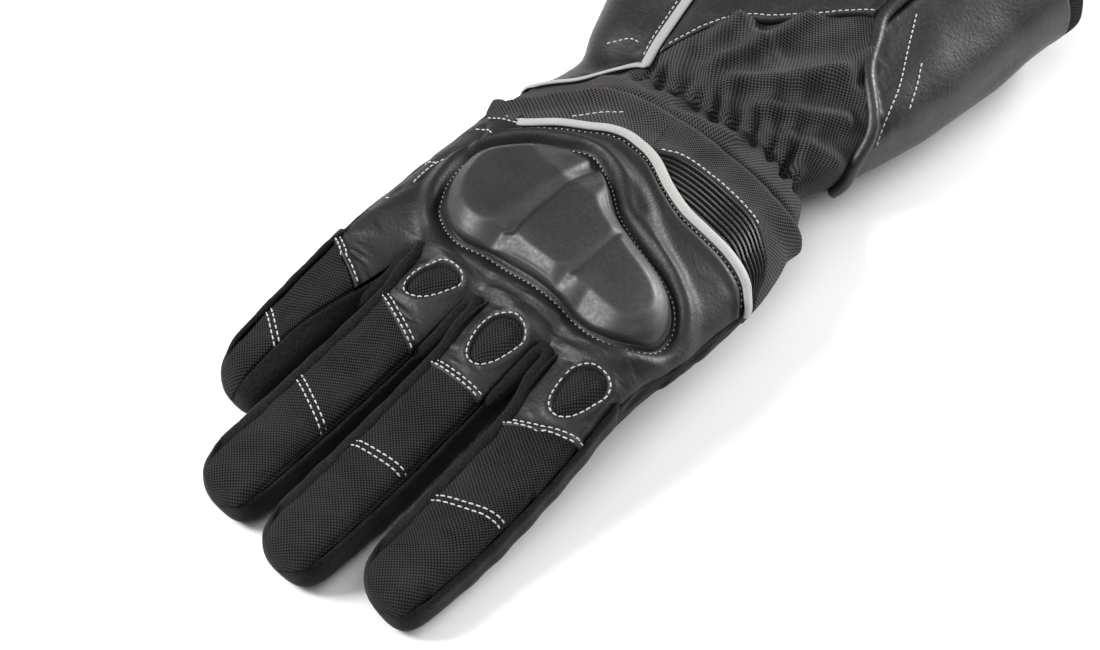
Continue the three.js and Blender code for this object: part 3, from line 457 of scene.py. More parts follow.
def grid_surface(P, depth):
    """One open grid, raised by a depth at each of its points"""
    s = Surface().grid(P)
    s.P, s.quads, s.loop_uv = s.points[0], s.quads[0], s.uvs[0][s.quads[0]]
    return s.raise_by(np.asarray(depth).ravel())


def show(name, me, material, slot, *nodes):
    ob = bpy.data.objects.new(name, me)
    me.materials.append(material)
    COLLECTION.objects.link(ob)
    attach(ob, "root")
    if nodes:
        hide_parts(*nodes)
    return ob


# Lines seen on the glove, in plan: x, y in millimetres
GUARD_EDGE = [(-49.2, 10.7), (-52.8, 15.3), (-56.1, 22.8), (-57.4, 32.1), (-54.7, 38.6), (-46.2, 46.2),
              (-38.4, 50.1), (-29.8, 53.2), (-22.7, 50.8), (-15.8, 46.4), (-8.1, 40.1), (3.4, 34.8),
              (15.8, 30.4), (22.6, 26.3), (26.8, 20.2), (27.7, 13.4), (24.7, 8.5), (18.9, 5), (11.1, 3.7),
              (-0.8, 5.2), (-16, 6.2), (-27.2, 6.6), (-39.1, 5.5)]
PUFF_CREST = [(-43.7, 0.2), (-32.9, -1.7), (-24.4, -1), (-8.7, -2.4), (6.7, -3.8), (16.5, -2.8), (23.8, 1)]
FOLD_CREST = [(-58, 38), (-52, 45.5), (-44.3, 50.8), (-38.8, 53.3), (-32.2, 55), (-26.1, 55.3),
              (-19.3, 54.4), (-12.1, 52), (-7, 49), (-2.7, 45.8), (1.6, 42.4), (9, 37.5), (16.4, 33.3)]
TEARDROPS = {
    "ring": [(-40.4, -5.9), (-37.4, -2.9), (-32.9, -2), (-29.4, -2.7), (-28.3, -4.8), (-29.9, -7.9),
             (-31.9, -11), (-35, -13.9), (-38.6, -15), (-41, -14.2), (-42.1, -11.7), (-41.8, -8.6)],
    "middle": [(-13.4, -8), (-9.6, -5.2), (-6.2, -5.1), (-3.3, -6.4), (-1.6, -9), (-2, -12), (-3, -15.2),
               (-4.5, -18.6), (-6.8, -21.2), (-9.3, -22), (-11.6, -21.4), (-13.2, -19.5), (-14.3, -16.2),
               (-14.6, -12.2)],
    "index": [(14.5, -10.8), (15, -7.8), (17.2, -5.4), (20.4, -4.2), (24.1, -4.4), (26.6, -6.2),
              (27.3, -9.3), (26.2, -13.5), (25, -17), (23, -20), (20.4, -21.5), (17.6, -21.1),
              (15.6, -18.9), (14.6, -15)],
}

guard_line = path_through(GUARD_EDGE, closed=True, count=260)
puff_line, fold_line = path_through(PUFF_CREST), path_through(FOLD_CREST)


def teardrop_line(name, grow=0.0, count=120):
    """A teardrop's outline, moved outwards by a little"""
    line = path_through(TEARDROPS[name], closed=True, count=count)
    along = np.gradient(line, axis=0)
    out = normed(np.stack([along[:, 1], -along[:, 0]], 1))
    out *= np.sign((out * (line - line.mean(0))).sum(1).mean())
    return line + out * grow


# The back leather
STEP = 0.5


def across(c):
    return unit(mix(180 - SEAM_LEFT, SEAM_RIGHT, (c + 1) / 2), FINGER_N)[0] * 12


def tongue_end(i, c):
    end, slant = TONGUES[NAMES[i]]
    return end + slant * across(c)


def leather_rows(i, c):
    """The y of each row of a strip's column: common rows between the forks and the wrist"""
    last = piping_y(strip_angle(i, c, 57.0)) - 0.2
    ahead = np.linspace(0, 1, 46)[:-1, None]
    common = np.concatenate([np.arange(-10, 4, 0.35), np.arange(4, 46, STEP)])[:, None] + 0 * c
    behind = np.linspace(0, 1, 40)[:, None]
    return np.concatenate([mix(tongue_end(i, c), -10.35, ahead), common, mix(46.0, last, behind)])


def back_relief(P, drops=True):
    """Puffs, folds and seams of the leather round the guard, and the cuts for the teardrops"""
    x, y, z = P.T
    guard = signed(P, guard_line)
    depth = -1.6 * bump(guard - 0.2, 1.0) + 1.7 * bump(guard - 3.4, 2.6) * (guard > -3)
    puff = plan_distance(P, puff_line)
    depth += 1.3 * bump(puff, 2.4)
    depth += 0.12 * ripple(P * [0.5, 1.5, 1], 5.0, 3) * bump(puff - 2, 5)
    fold = plan_distance(P, fold_line)
    depth += 1.3 * bump(fold, 2.6) * smooth((y - 30) / 8)
    depth += 0.12 * ripple(P, 16.0, 5) * (guard > 1)
    edge_fold = piping_y(top_angle(y, x)) - 0.2 - y
    depth += 0.55 * bump(edge_fold - 4.2, 1.6) * smooth((x + 45) / 15) - 0.6 * bump(edge_fold - 1.8, 0.7)
    for name in TEARDROPS if drops else []:
        drop = signed(P, teardrop_line(name, -0.7))
        depth -= 1.3 * smooth((0.35 - drop) / 0.9)
        depth += 0.35 * bump(drop - 1.6, 1.1)
    return depth


def cut_back(i, c, y):
    """Moves a strip's edges in beside the forks, to leave room for the knit rolls"""
    for side in (-1, 1):
        k = i - 1 if side < 0 else i
        if 0 <= k < 3:
            past = smooth((FORKS[k][1] - 0.6 - y) / 7)
            c = c - side * 0.13 * past * np.clip(side * c, 0, 1) ** 4
    return c


def back_leather():
    s = Surface()
    for i in range(4):
        c = np.linspace(-1, 1, 56)[None, :]
        rows = leather_rows(i, c)
        s.grid(back_point(i, cut_back(i, c, rows), rows))
    s.done()
    near = sum(bump(s.P[:, 0] - x, 4.5) * smooth((s.P[:, 1] - y - 0.5) / 2.5) for x, y in FORKS)
    s.relax(near * smooth((50 - s.P[:, 1]) / 4), 60)
    depth = back_relief(s.P)
    x, y, _ = s.P.T
    for i, name in enumerate(NAMES):
        lo = FORKS[i - 1][0] if i else -90
        hi = FORKS[i][0] if i < 3 else 90
        mine = (x > lo) & (x <= hi) & (y < -6)
        cx, half = finger_at(name, y)[:2]
        end, slant = TONGUES[name]
        d = y - (end + slant * (x - cx))
        roll = 0.9 * bump(d - 1.3, 1.2) - 1.4 * smooth(1 - d / 0.9)
        wrinkles = 0.2 * ripple(s.P * [0.3, 1, 1], 3.4, 11 + i) * bump(d - 5, 3.5)
        edge = -0.9 * smooth((np.abs(x - cx) / half - 0.78) / 0.14) * smooth((-5.5 - y) / 3)
        depth = depth + np.where(mine, roll + wrinkles + edge, 0)
    return s.raise_by(depth).rim(1.4)


# The sides and underside of the hand
def under_point(t, y):
    """Points where t runs from 0 at the index seam, under the palm, to 1 at the little finger's seam"""
    t, y = np.broadcast_arrays(np.asarray(t, float), np.asarray(y, float))
    angle = mix(index_seam(y), pinky_seam(y) - 360, t)
    p = hand_point(y, angle)
    ahead = 1 - smooth((y + 6) / FADE)
    to_index = finger_point("index", y, angle) - p
    to_pinky = finger_point("pinky", y, angle) - p
    p = p + to_index * (ahead * (1 - smooth(t / 0.22)))[..., None]
    return p + to_pinky * (ahead * (1 - smooth((1 - t) / 0.22)))[..., None]


GUSSET_END = 0.165
SIDE_START = 0.78
PALM_LAP = 0.004


def under_piece(ends, columns, start, rows, lift, wrinkle, stretch, size, seed):
    """A piece of the hand's sides or underside, from a start up to the piping, with soft wrinkles"""
    t = np.linspace(*ends, columns)[None, :]
    last = piping_y(mix(-6.0, -208.0, t)) - 0.2
    s = Surface().grid(under_point(t, mix(start, last, np.linspace(0, 1, rows)[:, None]))).done()
    return s.raise_by(lift + wrinkle * ripple(s.P * stretch, size, seed)).rim(1.2)


EDGE_FROM, EDGE_TO, EDGE_TIP = 131, 168, -43


def pinky_edge_leather():
    """The narrow strip of leather that runs on along the little finger's outer edge"""
    y, a = np.meshgrid(np.linspace(-6, EDGE_TIP, 90), np.linspace(EDGE_FROM, EDGE_TO, 30), indexing="ij")
    P = finger_point("pinky", y, a)
    edge = np.minimum(np.minimum(a - EDGE_FROM, EDGE_TO - a) * 0.2, y - EDGE_TIP)
    d = 0.9 * np.sqrt(np.clip(edge / 1.5, 0, 1)) + 0.15 * ripple(P * [1, 1, 0.5], 6.0, 27)
    return grid_surface(P, d).rim(1.2)


# Fingers
def tip_rows(name, start, step=0.45):
    """Rows from a start to the tip, closer where the tip rounds off"""
    end = tip[name]
    straight = np.linspace(start, end + TIP_LENGTH, int((start - end - TIP_LENGTH) / step))
    turn = np.radians(np.linspace(0, 90, 34)[1:])
    return np.concatenate([straight, end + TIP_LENGTH * (1 - np.sin(turn) ** 0.9)])


MM_PER_DEGREE = 0.17


def wall_relief(name, y, angle):
    """The rolled edges of the knit beside the cloth, and its soft wrinkles"""
    left = (angle - (180 - SEAM_LEFT) + 7) * MM_PER_DEGREE
    right = (360 + right_seam(name, y) - angle) * MM_PER_DEGREE
    fade = smooth((y - tip[name] - 3) / 9)
    roll = (1.5 * bump(left - 1.8, 1.5) + 0.5 * bump(right - 1.6, 1.6)) * fade
    seam = -1.3 * bump(left, 0.7) - 1.3 * bump(right, 0.7)
    wave = 0.3 * np.sin(y * 0.55 + angle * 0.02) * smooth((y - tip[name] - 10) / 20)
    return roll + seam * fade + wave * 0.5 - 1.6 * smooth((y + 9) / 6)


def finger_sides(name):
    rows = tip_rows(name, ROOT_Y)
    y, across_wall = np.meshgrid(rows, np.linspace(0, 1, 110), indexing="ij")
    a = mix(170 - SEAM_LEFT, 360 + right_seam(name, y), across_wall)
    P = finger_point(name, y, a)
    centre = section_centre(P, name)
    s = Surface().grid(P, centre).done()
    cx, _, low, high = finger_at(name, s.P[:, 1])
    ang = np.degrees(np.arctan2(s.P[:, 2] - (low + high) / 2, s.P[:, 0] - cx))
    ang = np.where(ang < 90, ang + 360, ang)
    return s.raise_by(wall_relief(name, s.P[:, 1], ang)).rim(1.0)


def finger_cloth(name):
    i = NAMES.index(name)
    start, slant = TONGUES[name]
    c = np.linspace(-0.84, 1, 64)[None, :]
    rows = tip_rows(name, start)[:, None]
    shear = slant * across(c) * smooth((rows - tip[name] - TIP_LENGTH) / 20)
    y = np.minimum(rows + 1.5 * smooth((rows - start + 6) / 6) + shear, 4)
    P = finger_point(name, y, mix(180 - SEAM_LEFT, right_seam(name, y), (c + 1) / 2))
    s = Surface().grid(P, section_centre(P, name)).done()
    y = s.P[:, 1]
    cx, half = finger_at(name, y)[:2]
    side = (s.P[:, 0] - cx) / half
    edge = np.minimum(unit(right_seam(name, y), FINGER_N)[0] - 0.05 - side, side + 0.7) * half
    d = 0.5 * smooth(edge / 3.0) - 0.9 * smooth(1 - edge / 0.9)
    d += 0.22 * ripple(s.P * [0.6, 1, 1], 9.0, 31 + i)
    return s.raise_by(d).rim(1.0)


def thumb():
    turn = np.radians(np.linspace(3, 90, 30))
    rows = np.concatenate([np.linspace(64, -1, 110), -14 + TIP_LENGTH * (1 - np.sin(turn))])
    y, a = np.meshgrid(rows, np.linspace(0, 360, 90), indexing="ij")
    P = finger_point("thumb", y, a)
    s = Surface().grid(P, section_centre(P, "thumb")).done()
    return s.raise_by(0.3 * ripple(s.P, 8.0, 41))


# The ribbed panel, the band and the gathered wrist
RIB_PITCH = 1.9
RIB_FROM, RIB_TO = -8.0, 89.0


def ribbed_panel():
    """Parallel ribs that follow the panel's far edge; the piping cuts across them"""
    angle = np.linspace(RIB_FROM, RIB_TO, 240)
    f, a = np.meshgrid(np.linspace(0, 1, 150), angle, indexing="ij")
    low, high = piping_y(a) + 0.2, np.maximum(rib_y(a), piping_y(a) + 0.8)
    y = mix(low, high, f)
    pitch = np.where(a > 50, RIB_PITCH, np.minimum(RIB_PITCH, (high - low) / 7.2))
    phase = ((high - y) / pitch) % 1
    d = -1.2 + 1.8 * (0.5 - 0.5 * np.cos(2 * math.pi * phase)) ** 0.55 * pitch / RIB_PITCH
    return grid_surface(hand_point(y, a), d).rim(1.4)


# Where the band's cloth folds over onto the gathered wrist, by the angle round the section
BAND_END = [(-210, 59.5), (-180, 65), (-150, 74), (-100, 80), (-30, 80), (30, 78.5), (60, 80), (90, 82),
            (112, 79), (125, 70), (140, 61), (152, 56)]
band_end = track(BAND_END)


def band_cells(angles, part):
    a, f = np.meshgrid(angles, part, indexing="xy")
    ribbed = (a > RIB_FROM) & (a < RIB_TO)
    start = np.where(ribbed, rib_y(a), piping_y(a)) + 0.2
    return a, mix(start, band_end(a), f), f


def wrist_band():
    s = Surface()
    part = 1 - (1 - np.linspace(0, 1, 46)) ** 1.15
    beside = np.linspace(-208, RIB_FROM, 120), np.linspace(RIB_TO, 150, 120)
    for angles in (beside[0], np.linspace(RIB_FROM + 0.01, RIB_TO, 220), beside[1]):
        a, y, f = band_cells(angles, part)
        length = band_end(a) - y
        P = hand_point(y, a)
        fold = 3.0 * smooth(1 - length / 9) * np.sqrt(np.clip(length / 2.4, 0, 1))
        n = outward(P, np.cross(np.gradient(P, axis=0), np.gradient(P, axis=1)))
        s.grid(P + n * (0.3 + fold)[..., None])
    s.done()
    s.raise_by(0.35 * ripple(s.P * [1, 0.5, 1], 12.0, 51))
    return s.rim(3.5)


GATHERS = [(-60, 90), (-44, 92.5), (-37.6, 95.5), (-28.4, 94.5), (-22.3, 95.5), (-14.2, 94.5), (-8.5, 96),
           (-1.8, 96), (5.8, 94.5), (14, 92.5), (26, 92)]
PITS = [-56, -49.5, -43, -37.2, -30, -23.4, -16.8, -9.8, -3, 4, 10.5, 16]


def gather_relief(P):
    """Pits along the elastic, puffs between them, and the folds that run on from them"""
    x, y = P[..., 0], P[..., 1]
    past = y - track(GATHERS)(x)
    total = -1.5 * bump(past, 2.6)
    rng = np.random.default_rng(7)
    for k, at in enumerate(PITS):
        lean, curve = rng.uniform(-0.5, 0.1), rng.uniform(-0.006, 0.012)
        reach, size = rng.uniform(14, 34), rng.uniform(0.75, 1.25)
        off = x - at - lean * past - curve * past * np.abs(past)
        wide = 1.3 + 0.05 * np.abs(past)
        hook = smooth((past + 5.5) / 4) * smooth(1 - past / (7 + 4 * size))
        total -= 2.5 * size * bump(off, wide) * hook
        gap = (PITS[k + 1] - at) / 2 if k + 1 < len(PITS) else 3
        ahead = smooth(1 + past / 13) * smooth(-past / 2)
        behind = smooth(1 - past / reach) * smooth(past / 2)
        total += 2.1 * size * bump(off - gap, gap * 0.62 + 0.05 * np.abs(past)) * (behind + 0.8 * ahead)
    return total


FOLDS = [
    # x, y of a fold's ends, width, height
    (-27, 106, -14, 142, 2.8, 3.4), (-20, 104, 6, 126, 2.6, 3.0), (-33, 114, -30, 150, 3.2, 2.6),
    (-8, 102, 14, 116, 2.4, 3.2), (-2, 116, 8, 144, 3.6, 2.6), (2, 99, 20, 108, 2.4, 2.4),
    (-17, 118, -1, 134, 3.4, -1.3), (-25, 126, -21, 150, 3.4, -1.2),
    (-33, 124, -15, 119, 2.6, 2.0), (6, 122, 19, 128, 3.0, 1.8), (-52, 84, -38, 86, 2.0, 0.5),
    (-46, 79, -30, 88, 2.2, 1.0), (-58, 76, -48, 84, 2.2, 0.4), (-24, 84, -6, 88, 2.2, 1.6),
]


def cuff_waves(P):
    """Broad waves shared by the cuff's cloth and leather"""
    y = P[..., 1]
    return 0.9 * ripple(P * [1, 0.45, 1], 34.0, 61) * smooth((y - 100) / 20) * smooth((CUFF_END - y) / 25)


def under_panels(y, a):
    """1 where the cuff's leather panels lie over the cloth"""
    a = np.where(a < -120, a + 360, a)
    side = smooth((y - side_cuff_y(a) - 0.5) / 2) * (a > 109.5)
    top = smooth((y - top_cuff_y(a) - 0.5) / 2) * (a > -42)
    return np.where(a > 109.5, side, top)


def cuff_grid(angles, start, end, count):
    f, a = np.meshgrid(np.linspace(0, 1, count), angles, indexing="ij")
    return mix(start(a), end, f), a


def gathered_wrist():
    y, a = cuff_grid(np.linspace(-208, 152, 400), lambda v: band_end(v) - 9, CUFF_END - 7, 150)
    P = hand_point(y, a)
    under = smooth((band_end(a) + 4 - y) / 5)
    top = smooth((a + 10) / 30) * smooth((165 - a) / 20)
    d = gather_relief(P) * top - 3.0 * under
    for ax, ay, bx, by, width, height in FOLDS:
        middle = (ax + bx) / 2 + (by - ay) * 0.08, (ay + by) / 2
        line = path_through([(ax, ay), middle, (bx, by)], count=14)
        d = d + 1.35 * height * bump(plan_distance(P, line), width) * top
    start = np.where(a > 109.5, side_cuff_y(a), 300)
    d = d * (1 - 0.9 * smooth((y - start + 7) / 6))
    d = mix(d, -1.0, under_panels(y, a))
    return grid_surface(P, d + cuff_waves(P))


def panel_over(angles, start, rows, seed):
    """A leather panel sewn on the cuff, raised over the cloth, with rolled edges"""
    y, a = cuff_grid(angles, start, CUFF_END - 7.2, rows)
    P = hand_point(y, a)
    side = np.minimum(a - angles.min(), angles.max() - a) * math.radians(CUFF_RADIUS)
    front = y - start(a)
    edge = np.minimum(side, front)
    d = 1.3 * np.sqrt(np.clip(edge / 1.6, 0, 1)) + 0.4 * bump(edge - 1.6, 1.1) - 0.4
    d = d + 0.3 * ripple(P * [1, 0.6, 1], 22.0, seed) * smooth(edge / 4)
    d = d + 0.16 * ripple(P * [0.5, 1, 1], 4.0, seed + 1) * bump(front - 4, 6)
    return grid_surface(P, d + cuff_waves(P)).rim(1.6)


HEM_ROLL = 1.2
HEM_WALL = 1.4


def cuff_hem():
    """The rolled hem and the lining inside the mouth"""
    outside = np.linspace(CUFF_END - 7, CUFF_END - HEM_ROLL, 14)
    turn = np.radians(np.linspace(0, 180, 24))
    inside_rows = np.linspace(CUFF_END - 2, 100, 60)
    rows = np.concatenate([outside, CUFF_END - HEM_ROLL + HEM_ROLL * np.sin(turn), inside_rows])
    swell = 0.5 * np.sqrt(np.maximum(0, 1 - ((outside - CUFF_END + 4) / 3.4) ** 2))
    outs = np.concatenate([swell, HEM_WALL * (np.cos(turn) - 1), -2 * HEM_WALL + 0 * inside_rows])
    grid = hand_point(rows[:, None], np.linspace(0, 360, 200), outs[:, None])
    half_turn = len(outside) + len(turn) // 2
    lining = grid[half_turn - 1:]
    s = Surface().grid(grid[:half_turn])
    return s.grid(lining, centre=2 * lining - section_centre(lining)).done()


# The knuckle guard
def topmost(trees, x, y):
    """The highest hit of some surfaces over a point of the plan"""
    hits = [tree.ray_cast(Vector((x, y, 90)), Vector((0, 0, -1))) for tree in trees]
    hits = [hit for hit in hits if hit[0] is not None]
    return max(hits, key=lambda hit: hit[0].z) if hits else None


def surface_height(tree, flat):
    hits = [topmost([tree], x, y) for x, y in flat]
    return np.array([hit[0].z if hit else -1.0 for hit in hits])


GUARD_CENTRE = np.array([-17.0, 24.0])
PLATES = [
    [(-50, 15.6), (-48, 14), (-38, 11.8), (-33.4, 12.6), (-31.2, 16.3), (-30.6, 25.6), (-29.6, 33),
     (-28, 38.4), (-33.5, 38.9), (-37.7, 39.8), (-44.1, 42.9), (-49, 41.5), (-53.5, 37), (-55, 30),
     (-53.6, 21)],
    [(-23.9, 14.9), (-21.3, 13.3), (-14.1, 11.6), (-8, 11.7), (-4.6, 16.1), (-3.3, 25.4), (-3.9, 31),
     (-8.9, 35.8), (-14, 37.8), (-18.7, 37.5), (-23.4, 37), (-23.6, 26)],
    [(-0.9, 12.4), (4.7, 11.4), (11.2, 10.8), (17.3, 11.2), (20.7, 17), (19.6, 23.7), (14.8, 28), (9, 30.4),
     (4.6, 31.2), (0, 31.2), (-0.6, 22.1)],
]
PLATE_TOP = 6.2


def guard_height(P, d):
    """Three flat-topped plates with bevels all round, cut off by the rounded rim"""
    x, y = P.T
    plates = []
    for k, corners in enumerate(PLATES):
        outline = path_through(corners, closed=True, count=160)
        off = signed(P, outline)
        left, front = outline[:, 0].min(), outline[:, 1].min()
        slope = mix(0.4, 0.62, smooth((front + 2.5 - y) / 2))
        if k:
            slope = mix(slope, 1.5, smooth((left + 0.6 - x) / 0.9) * smooth((y - front - 1) / 3))
        slope = mix(slope, 0.5, smooth((x - outline[:, 0].max() + 0.5) / 2))
        plates.append(PLATE_TOP - slope * np.logaddexp(0, 3 * off) / 3 + 0.2 * smooth(-off / 6))
    sharp = 4.0
    top = np.log(sum(np.exp(sharp * np.maximum(p, -20)) for p in plates)) / sharp
    rim = 3.9 * np.sqrt(np.clip(1 - (1 - np.clip(d / 2.0, 0, 1)) ** 2, 0, 1)) + 0.75 * np.maximum(0, d - 1.4)
    return -np.log(np.exp(-sharp * top) + np.exp(-sharp * rim)) / sharp


def polar(outline, centre, rings):
    """Points of the plan on rings from a centre to an outline"""
    f = np.asarray(rings)[:, None, None]
    return centre + (outline[None, :, :2] - centre) * f


def knuckle_guard(base):
    rim = path_through(GUARD_EDGE, closed=True, count=360)
    rim = rim + normed(GUARD_CENTRE - rim) * 1.5
    Q = polar(rim, GUARD_CENTRE, np.sin(np.radians(np.linspace(0, 90, 110))))
    flat = Q.reshape(-1, 2)
    z = surface_height(base, flat)
    d = plan_distance(flat, rim)
    h = guard_height(flat, d) - 0.9
    P = np.column_stack([flat, z + h]).reshape(Q.shape[:2] + (3,))
    s = Surface().grid(P, centre=P - [0, 0, 1]).done()
    s.relax(smooth(plan_distance(s.P, rim) / 0.8), 5)
    return s.rim(1.2)


def teardrop_cloth(name, base):
    rim = teardrop_line(name, -1.25)
    middle = rim.mean(0)
    flat = polar(rim, middle, np.linspace(0.01, 1, 34)).reshape(-1, 2)
    z = surface_height(base, flat)
    d = plan_distance(flat, rim)
    z = z + back_relief(np.column_stack([flat, z]), drops=False)
    P = np.column_stack([flat, z - 0.75 + 0.9 * smooth(d / 2.8)]).reshape(34, len(rim), 3)
    uv = (flat - middle).reshape(34, len(rim), 2)
    return Surface().grid(P, centre=P - [0, 0, 1], uv=uv).done()


# Cords, pipings and stitches
def sweep(path, normals, profile, taper=None):
    """A closed profile of (side, height) carried along a path"""
    along = normed(np.gradient(path, axis=0))
    side = normed(np.cross(along, normals))
    up = np.cross(side, along)
    profile = np.vstack([profile, profile[:1]])
    size = np.ones(len(path)) if taper is None else taper
    out = side[:, None] * profile[None, :, :1] + up[:, None] * profile[None, :, 1:]
    P = path[:, None] + out * size[:, None, None]
    centre = np.broadcast_to(path[:, None] + up[:, None] * profile[:, 1].mean(), P.shape)
    return Surface().grid(P, centre=centre).done()


def hand_path(ys, angles, lift=0.0):
    ys, angles = np.asarray(ys, float), np.asarray(angles, float)
    P = hand_point(ys, angles)
    around = hand_point(ys, angles + 1) - hand_point(ys, angles - 1)
    along = hand_point(ys + 0.5, angles) - hand_point(ys - 0.5, angles)
    n = outward(P, np.cross(along, around))
    return P + n * lift, n


def soften(path, times):
    """Rounds a path's corners in place, and keeps its ends"""
    for _ in range(times):
        path[1:-1] = (path[:-2] + path[2:]) / 4 + path[1:-1] / 2


def lens(width, height, count=16):
    a = np.linspace(0, 2 * math.pi, count, endpoint=False)
    return np.stack([width / 2 * power(np.cos(a), 0.8), height * np.maximum(power(np.sin(a), 0.8), -0.3)], 1)


def ring(radius, count=14):
    a = np.linspace(0, 2 * math.pi, count, endpoint=False)
    return np.stack([radius * np.cos(a), radius * np.sin(a)], 1)


def on_top(trees, plan, lift=0.0):
    """A line of the plan laid on the topmost of some surfaces, with the surface's normals"""
    P, N = [], []
    for x, y in plan[:, :2]:
        hit = topmost(trees, x, y)
        if hit:
            n = np.array(hit[1] if hit[1].z > 0 else -hit[1])
            P.append(np.array(hit[0]) + n * lift)
            N.append(n)
    return np.array(P), np.array(N)


STEPS = 8
RINGS_AT = [-1.0, -0.86, -0.5, 0, 0.5, 0.86, 1.0]


def stitch_row(P, N, pitch=2.05, length=1.55, radius=0.22):
    """Dashes of thread along a line, one to each pitch, thinner and lower at their ends"""
    P, N = even(P, N, pitch / STEPS)
    a = np.linspace(0, 2 * math.pi, 8)[:, None]
    dashes = []
    for k in range(len(P) // STEPS):
        i = min(len(P) - 2, k * STEPS + STEPS // 2)
        along = normed(P[min(i + 3, len(P) - 1)] - P[max(i - 3, 0)])
        side = normed(np.cross(along, N[i]))
        up = np.cross(side, along)
        dash = []
        for t in RINGS_AT:
            r = radius * math.sqrt(max(0.0, 1 - t**6)) + 0.01
            drop = -radius * 1.1 * t**4
            c = P[i] + along * (t * length / 2) + up * drop
            dash.append(c + r * (side * np.cos(a) + up * np.sin(a)))
        dashes.append(np.array(dash))
    return dashes


def stitches(name, rows, *nodes):
    s = Surface()
    for P, N, options in rows:
        if len(P) < 3:
            continue
        for dash in stitch_row(P, N, **options):
            s.grid(dash, centre=dash.mean(1, keepdims=True))
    s.done().make(name, THREAD, None, *nodes)


# Materials
class Look:
    """The nodes of a material"""

    def __init__(self, tree):
        self.tree = tree

    def put(self, node, inputs):
        for key, value in inputs.items():
            if isinstance(value, bpy.types.NodeSocket):
                self.tree.links.new(value, node.inputs[key])
            else:
                node.inputs[key].default_value = value

    def node(self, kind, inputs, **settings):
        node = self.tree.nodes.new("ShaderNode" + kind)
        for key, value in settings.items():
            setattr(node, key, value)
        self.put(node, inputs)
        return node

    def shade(self, **inputs):
        self.put(self.tree.nodes["Principled BSDF"], {key.replace("_", " "): v for key, v in inputs.items()})

    def place(self, kind="Object"):
        return self.node("TexCoord", {}).outputs[kind]

    def ramp(self, source, low, high, at=(0.3, 0.7)):
        node = self.node("ValToRGB", {"Fac": source})
        for stop, position, colour in zip(node.color_ramp.elements, at, (low, high)):
            stop.position = position
            stop.color = (*colour, 1)
        return node.outputs["Color"]

    def noise(self, scale, detail):
        inputs = {"Vector": self.place(), "Scale": scale, "Detail": detail, "Roughness": 0.55}
        return self.node("TexNoise", inputs).outputs["Fac"]

    def bump(self, height, distance, before=None):
        inputs = {"Height": height, "Distance": distance, "Strength": 1}
        if before is not None:
            inputs["Normal"] = before
        return self.node("Bump", inputs).outputs["Normal"]

    def math(self, operation, *values):
        return self.node("Math", dict(enumerate(values)), operation=operation).outputs[0]


def material(name, colour, roughness, build=None, sheen=0.0, specular=0.5):
    m = bpy.data.materials.new(name)
    m.use_nodes = True
    look = Look(m.node_tree)
    look.shade(Base_Color=(*colour, 1), Roughness=roughness, Sheen_Weight=sheen, Sheen_Roughness=0.4,
               Specular_IOR_Level=specular)
    if build:
        build(look)
    return m


def leather_look(dark, light, rough, grain, wrinkle):
    """Fine cells and noise for the grain, over broad soft wrinkles"""
    def build(look):
        cells = look.node("TexVoronoi", {"Vector": look.place(), "Scale": 1350}, feature="SMOOTH_F1")
        fine, broad = look.noise(900, 4), look.noise(60, 3)
        n = look.bump(fine, grain, look.bump(broad, wrinkle))
        n = look.bump(cells.outputs["Distance"], grain, n)
        roughness = look.ramp(fine, [rough - 0.06] * 3, [rough + 0.08] * 3)
        look.shade(Normal=n, Base_Color=look.ramp(broad, dark, light), Roughness=roughness)
    return build


YARN_PITCH = 1.1, 1.15


def weave_look(dark, light):
    """Rows of small raised dots of yarn along the cloth's own directions"""
    def build(look):
        split = look.node("SeparateXYZ", {0: look.place("UV")})
        turns = [look.math("MULTIPLY", split.outputs[k], 2000 * math.pi / YARN_PITCH[k]) for k in range(2)]
        dots = look.math("MULTIPLY", *(look.math("SINE", turn) for turn in turns))
        dots = look.math("MULTIPLY_ADD", dots, 0.5, 0.5)
        mixed = look.math("MULTIPLY_ADD", look.noise(70, 3), 0.5, dots)
        n = look.bump(dots, 0.00016, look.bump(look.noise(120, 4), 0.0004))
        look.shade(Normal=n, Base_Color=look.ramp(mixed, dark, light, (0.38, 1.15)))
    return build


def fuzz_look(dark, light, scale=1500, depth=0.0001):
    """Fine short hairs: noise in the colour and the surface"""
    def build(look):
        fine = look.noise(scale, 2)
        look.shade(Normal=look.bump(fine, depth), Base_Color=look.ramp(fine, dark, light))
    return build


def grey(v, warm=0.0):
    return (v * (1 + warm), v * 0.94, v * (1 - warm))


THREAD_TONES = (0.43, 0.42, 0.41), (0.63, 0.62, 0.6)
TAPE_TONES = (0.33, 0.325, 0.315), (0.38, 0.375, 0.365)
SKIN = leather_look(grey(0.005), grey(0.009), 0.52, 0.00006, 0.00018)
CUFF_SKIN = leather_look(grey(0.009), grey(0.015), 0.44, 0.00006, 0.0003)
MOULDED = leather_look(grey(0.011), grey(0.02), 0.48, 0.00001, 0.00003)
RUBBERY = fuzz_look(grey(0.004), grey(0.006), 900, 0.00003)
WEAVE, CUFF_WEAVE = weave_look(grey(0.001), grey(0.034)), weave_look(grey(0.002), grey(0.072))
LEATHER = material("leather", grey(0.03), 0.42, SKIN, specular=0.42)
CUFF_LEATHER = material("leather_cuff", grey(0.012), 0.42, CUFF_SKIN, specular=0.55)
GUARD = material("moulded_leather", grey(0.03), 0.36, MOULDED, specular=0.62)
CLOTH = material("softshell", grey(0.03), 0.85, WEAVE, sheen=0.01, specular=0.06)
CUFF_CLOTH = material("softshell_cuff", grey(0.04), 0.8, CUFF_WEAVE, sheen=0.02, specular=0.09)
KNIT = material("knit", grey(0.012), 0.95, fuzz_look(grey(0.005), grey(0.017)), sheen=0.08, specular=0.12)
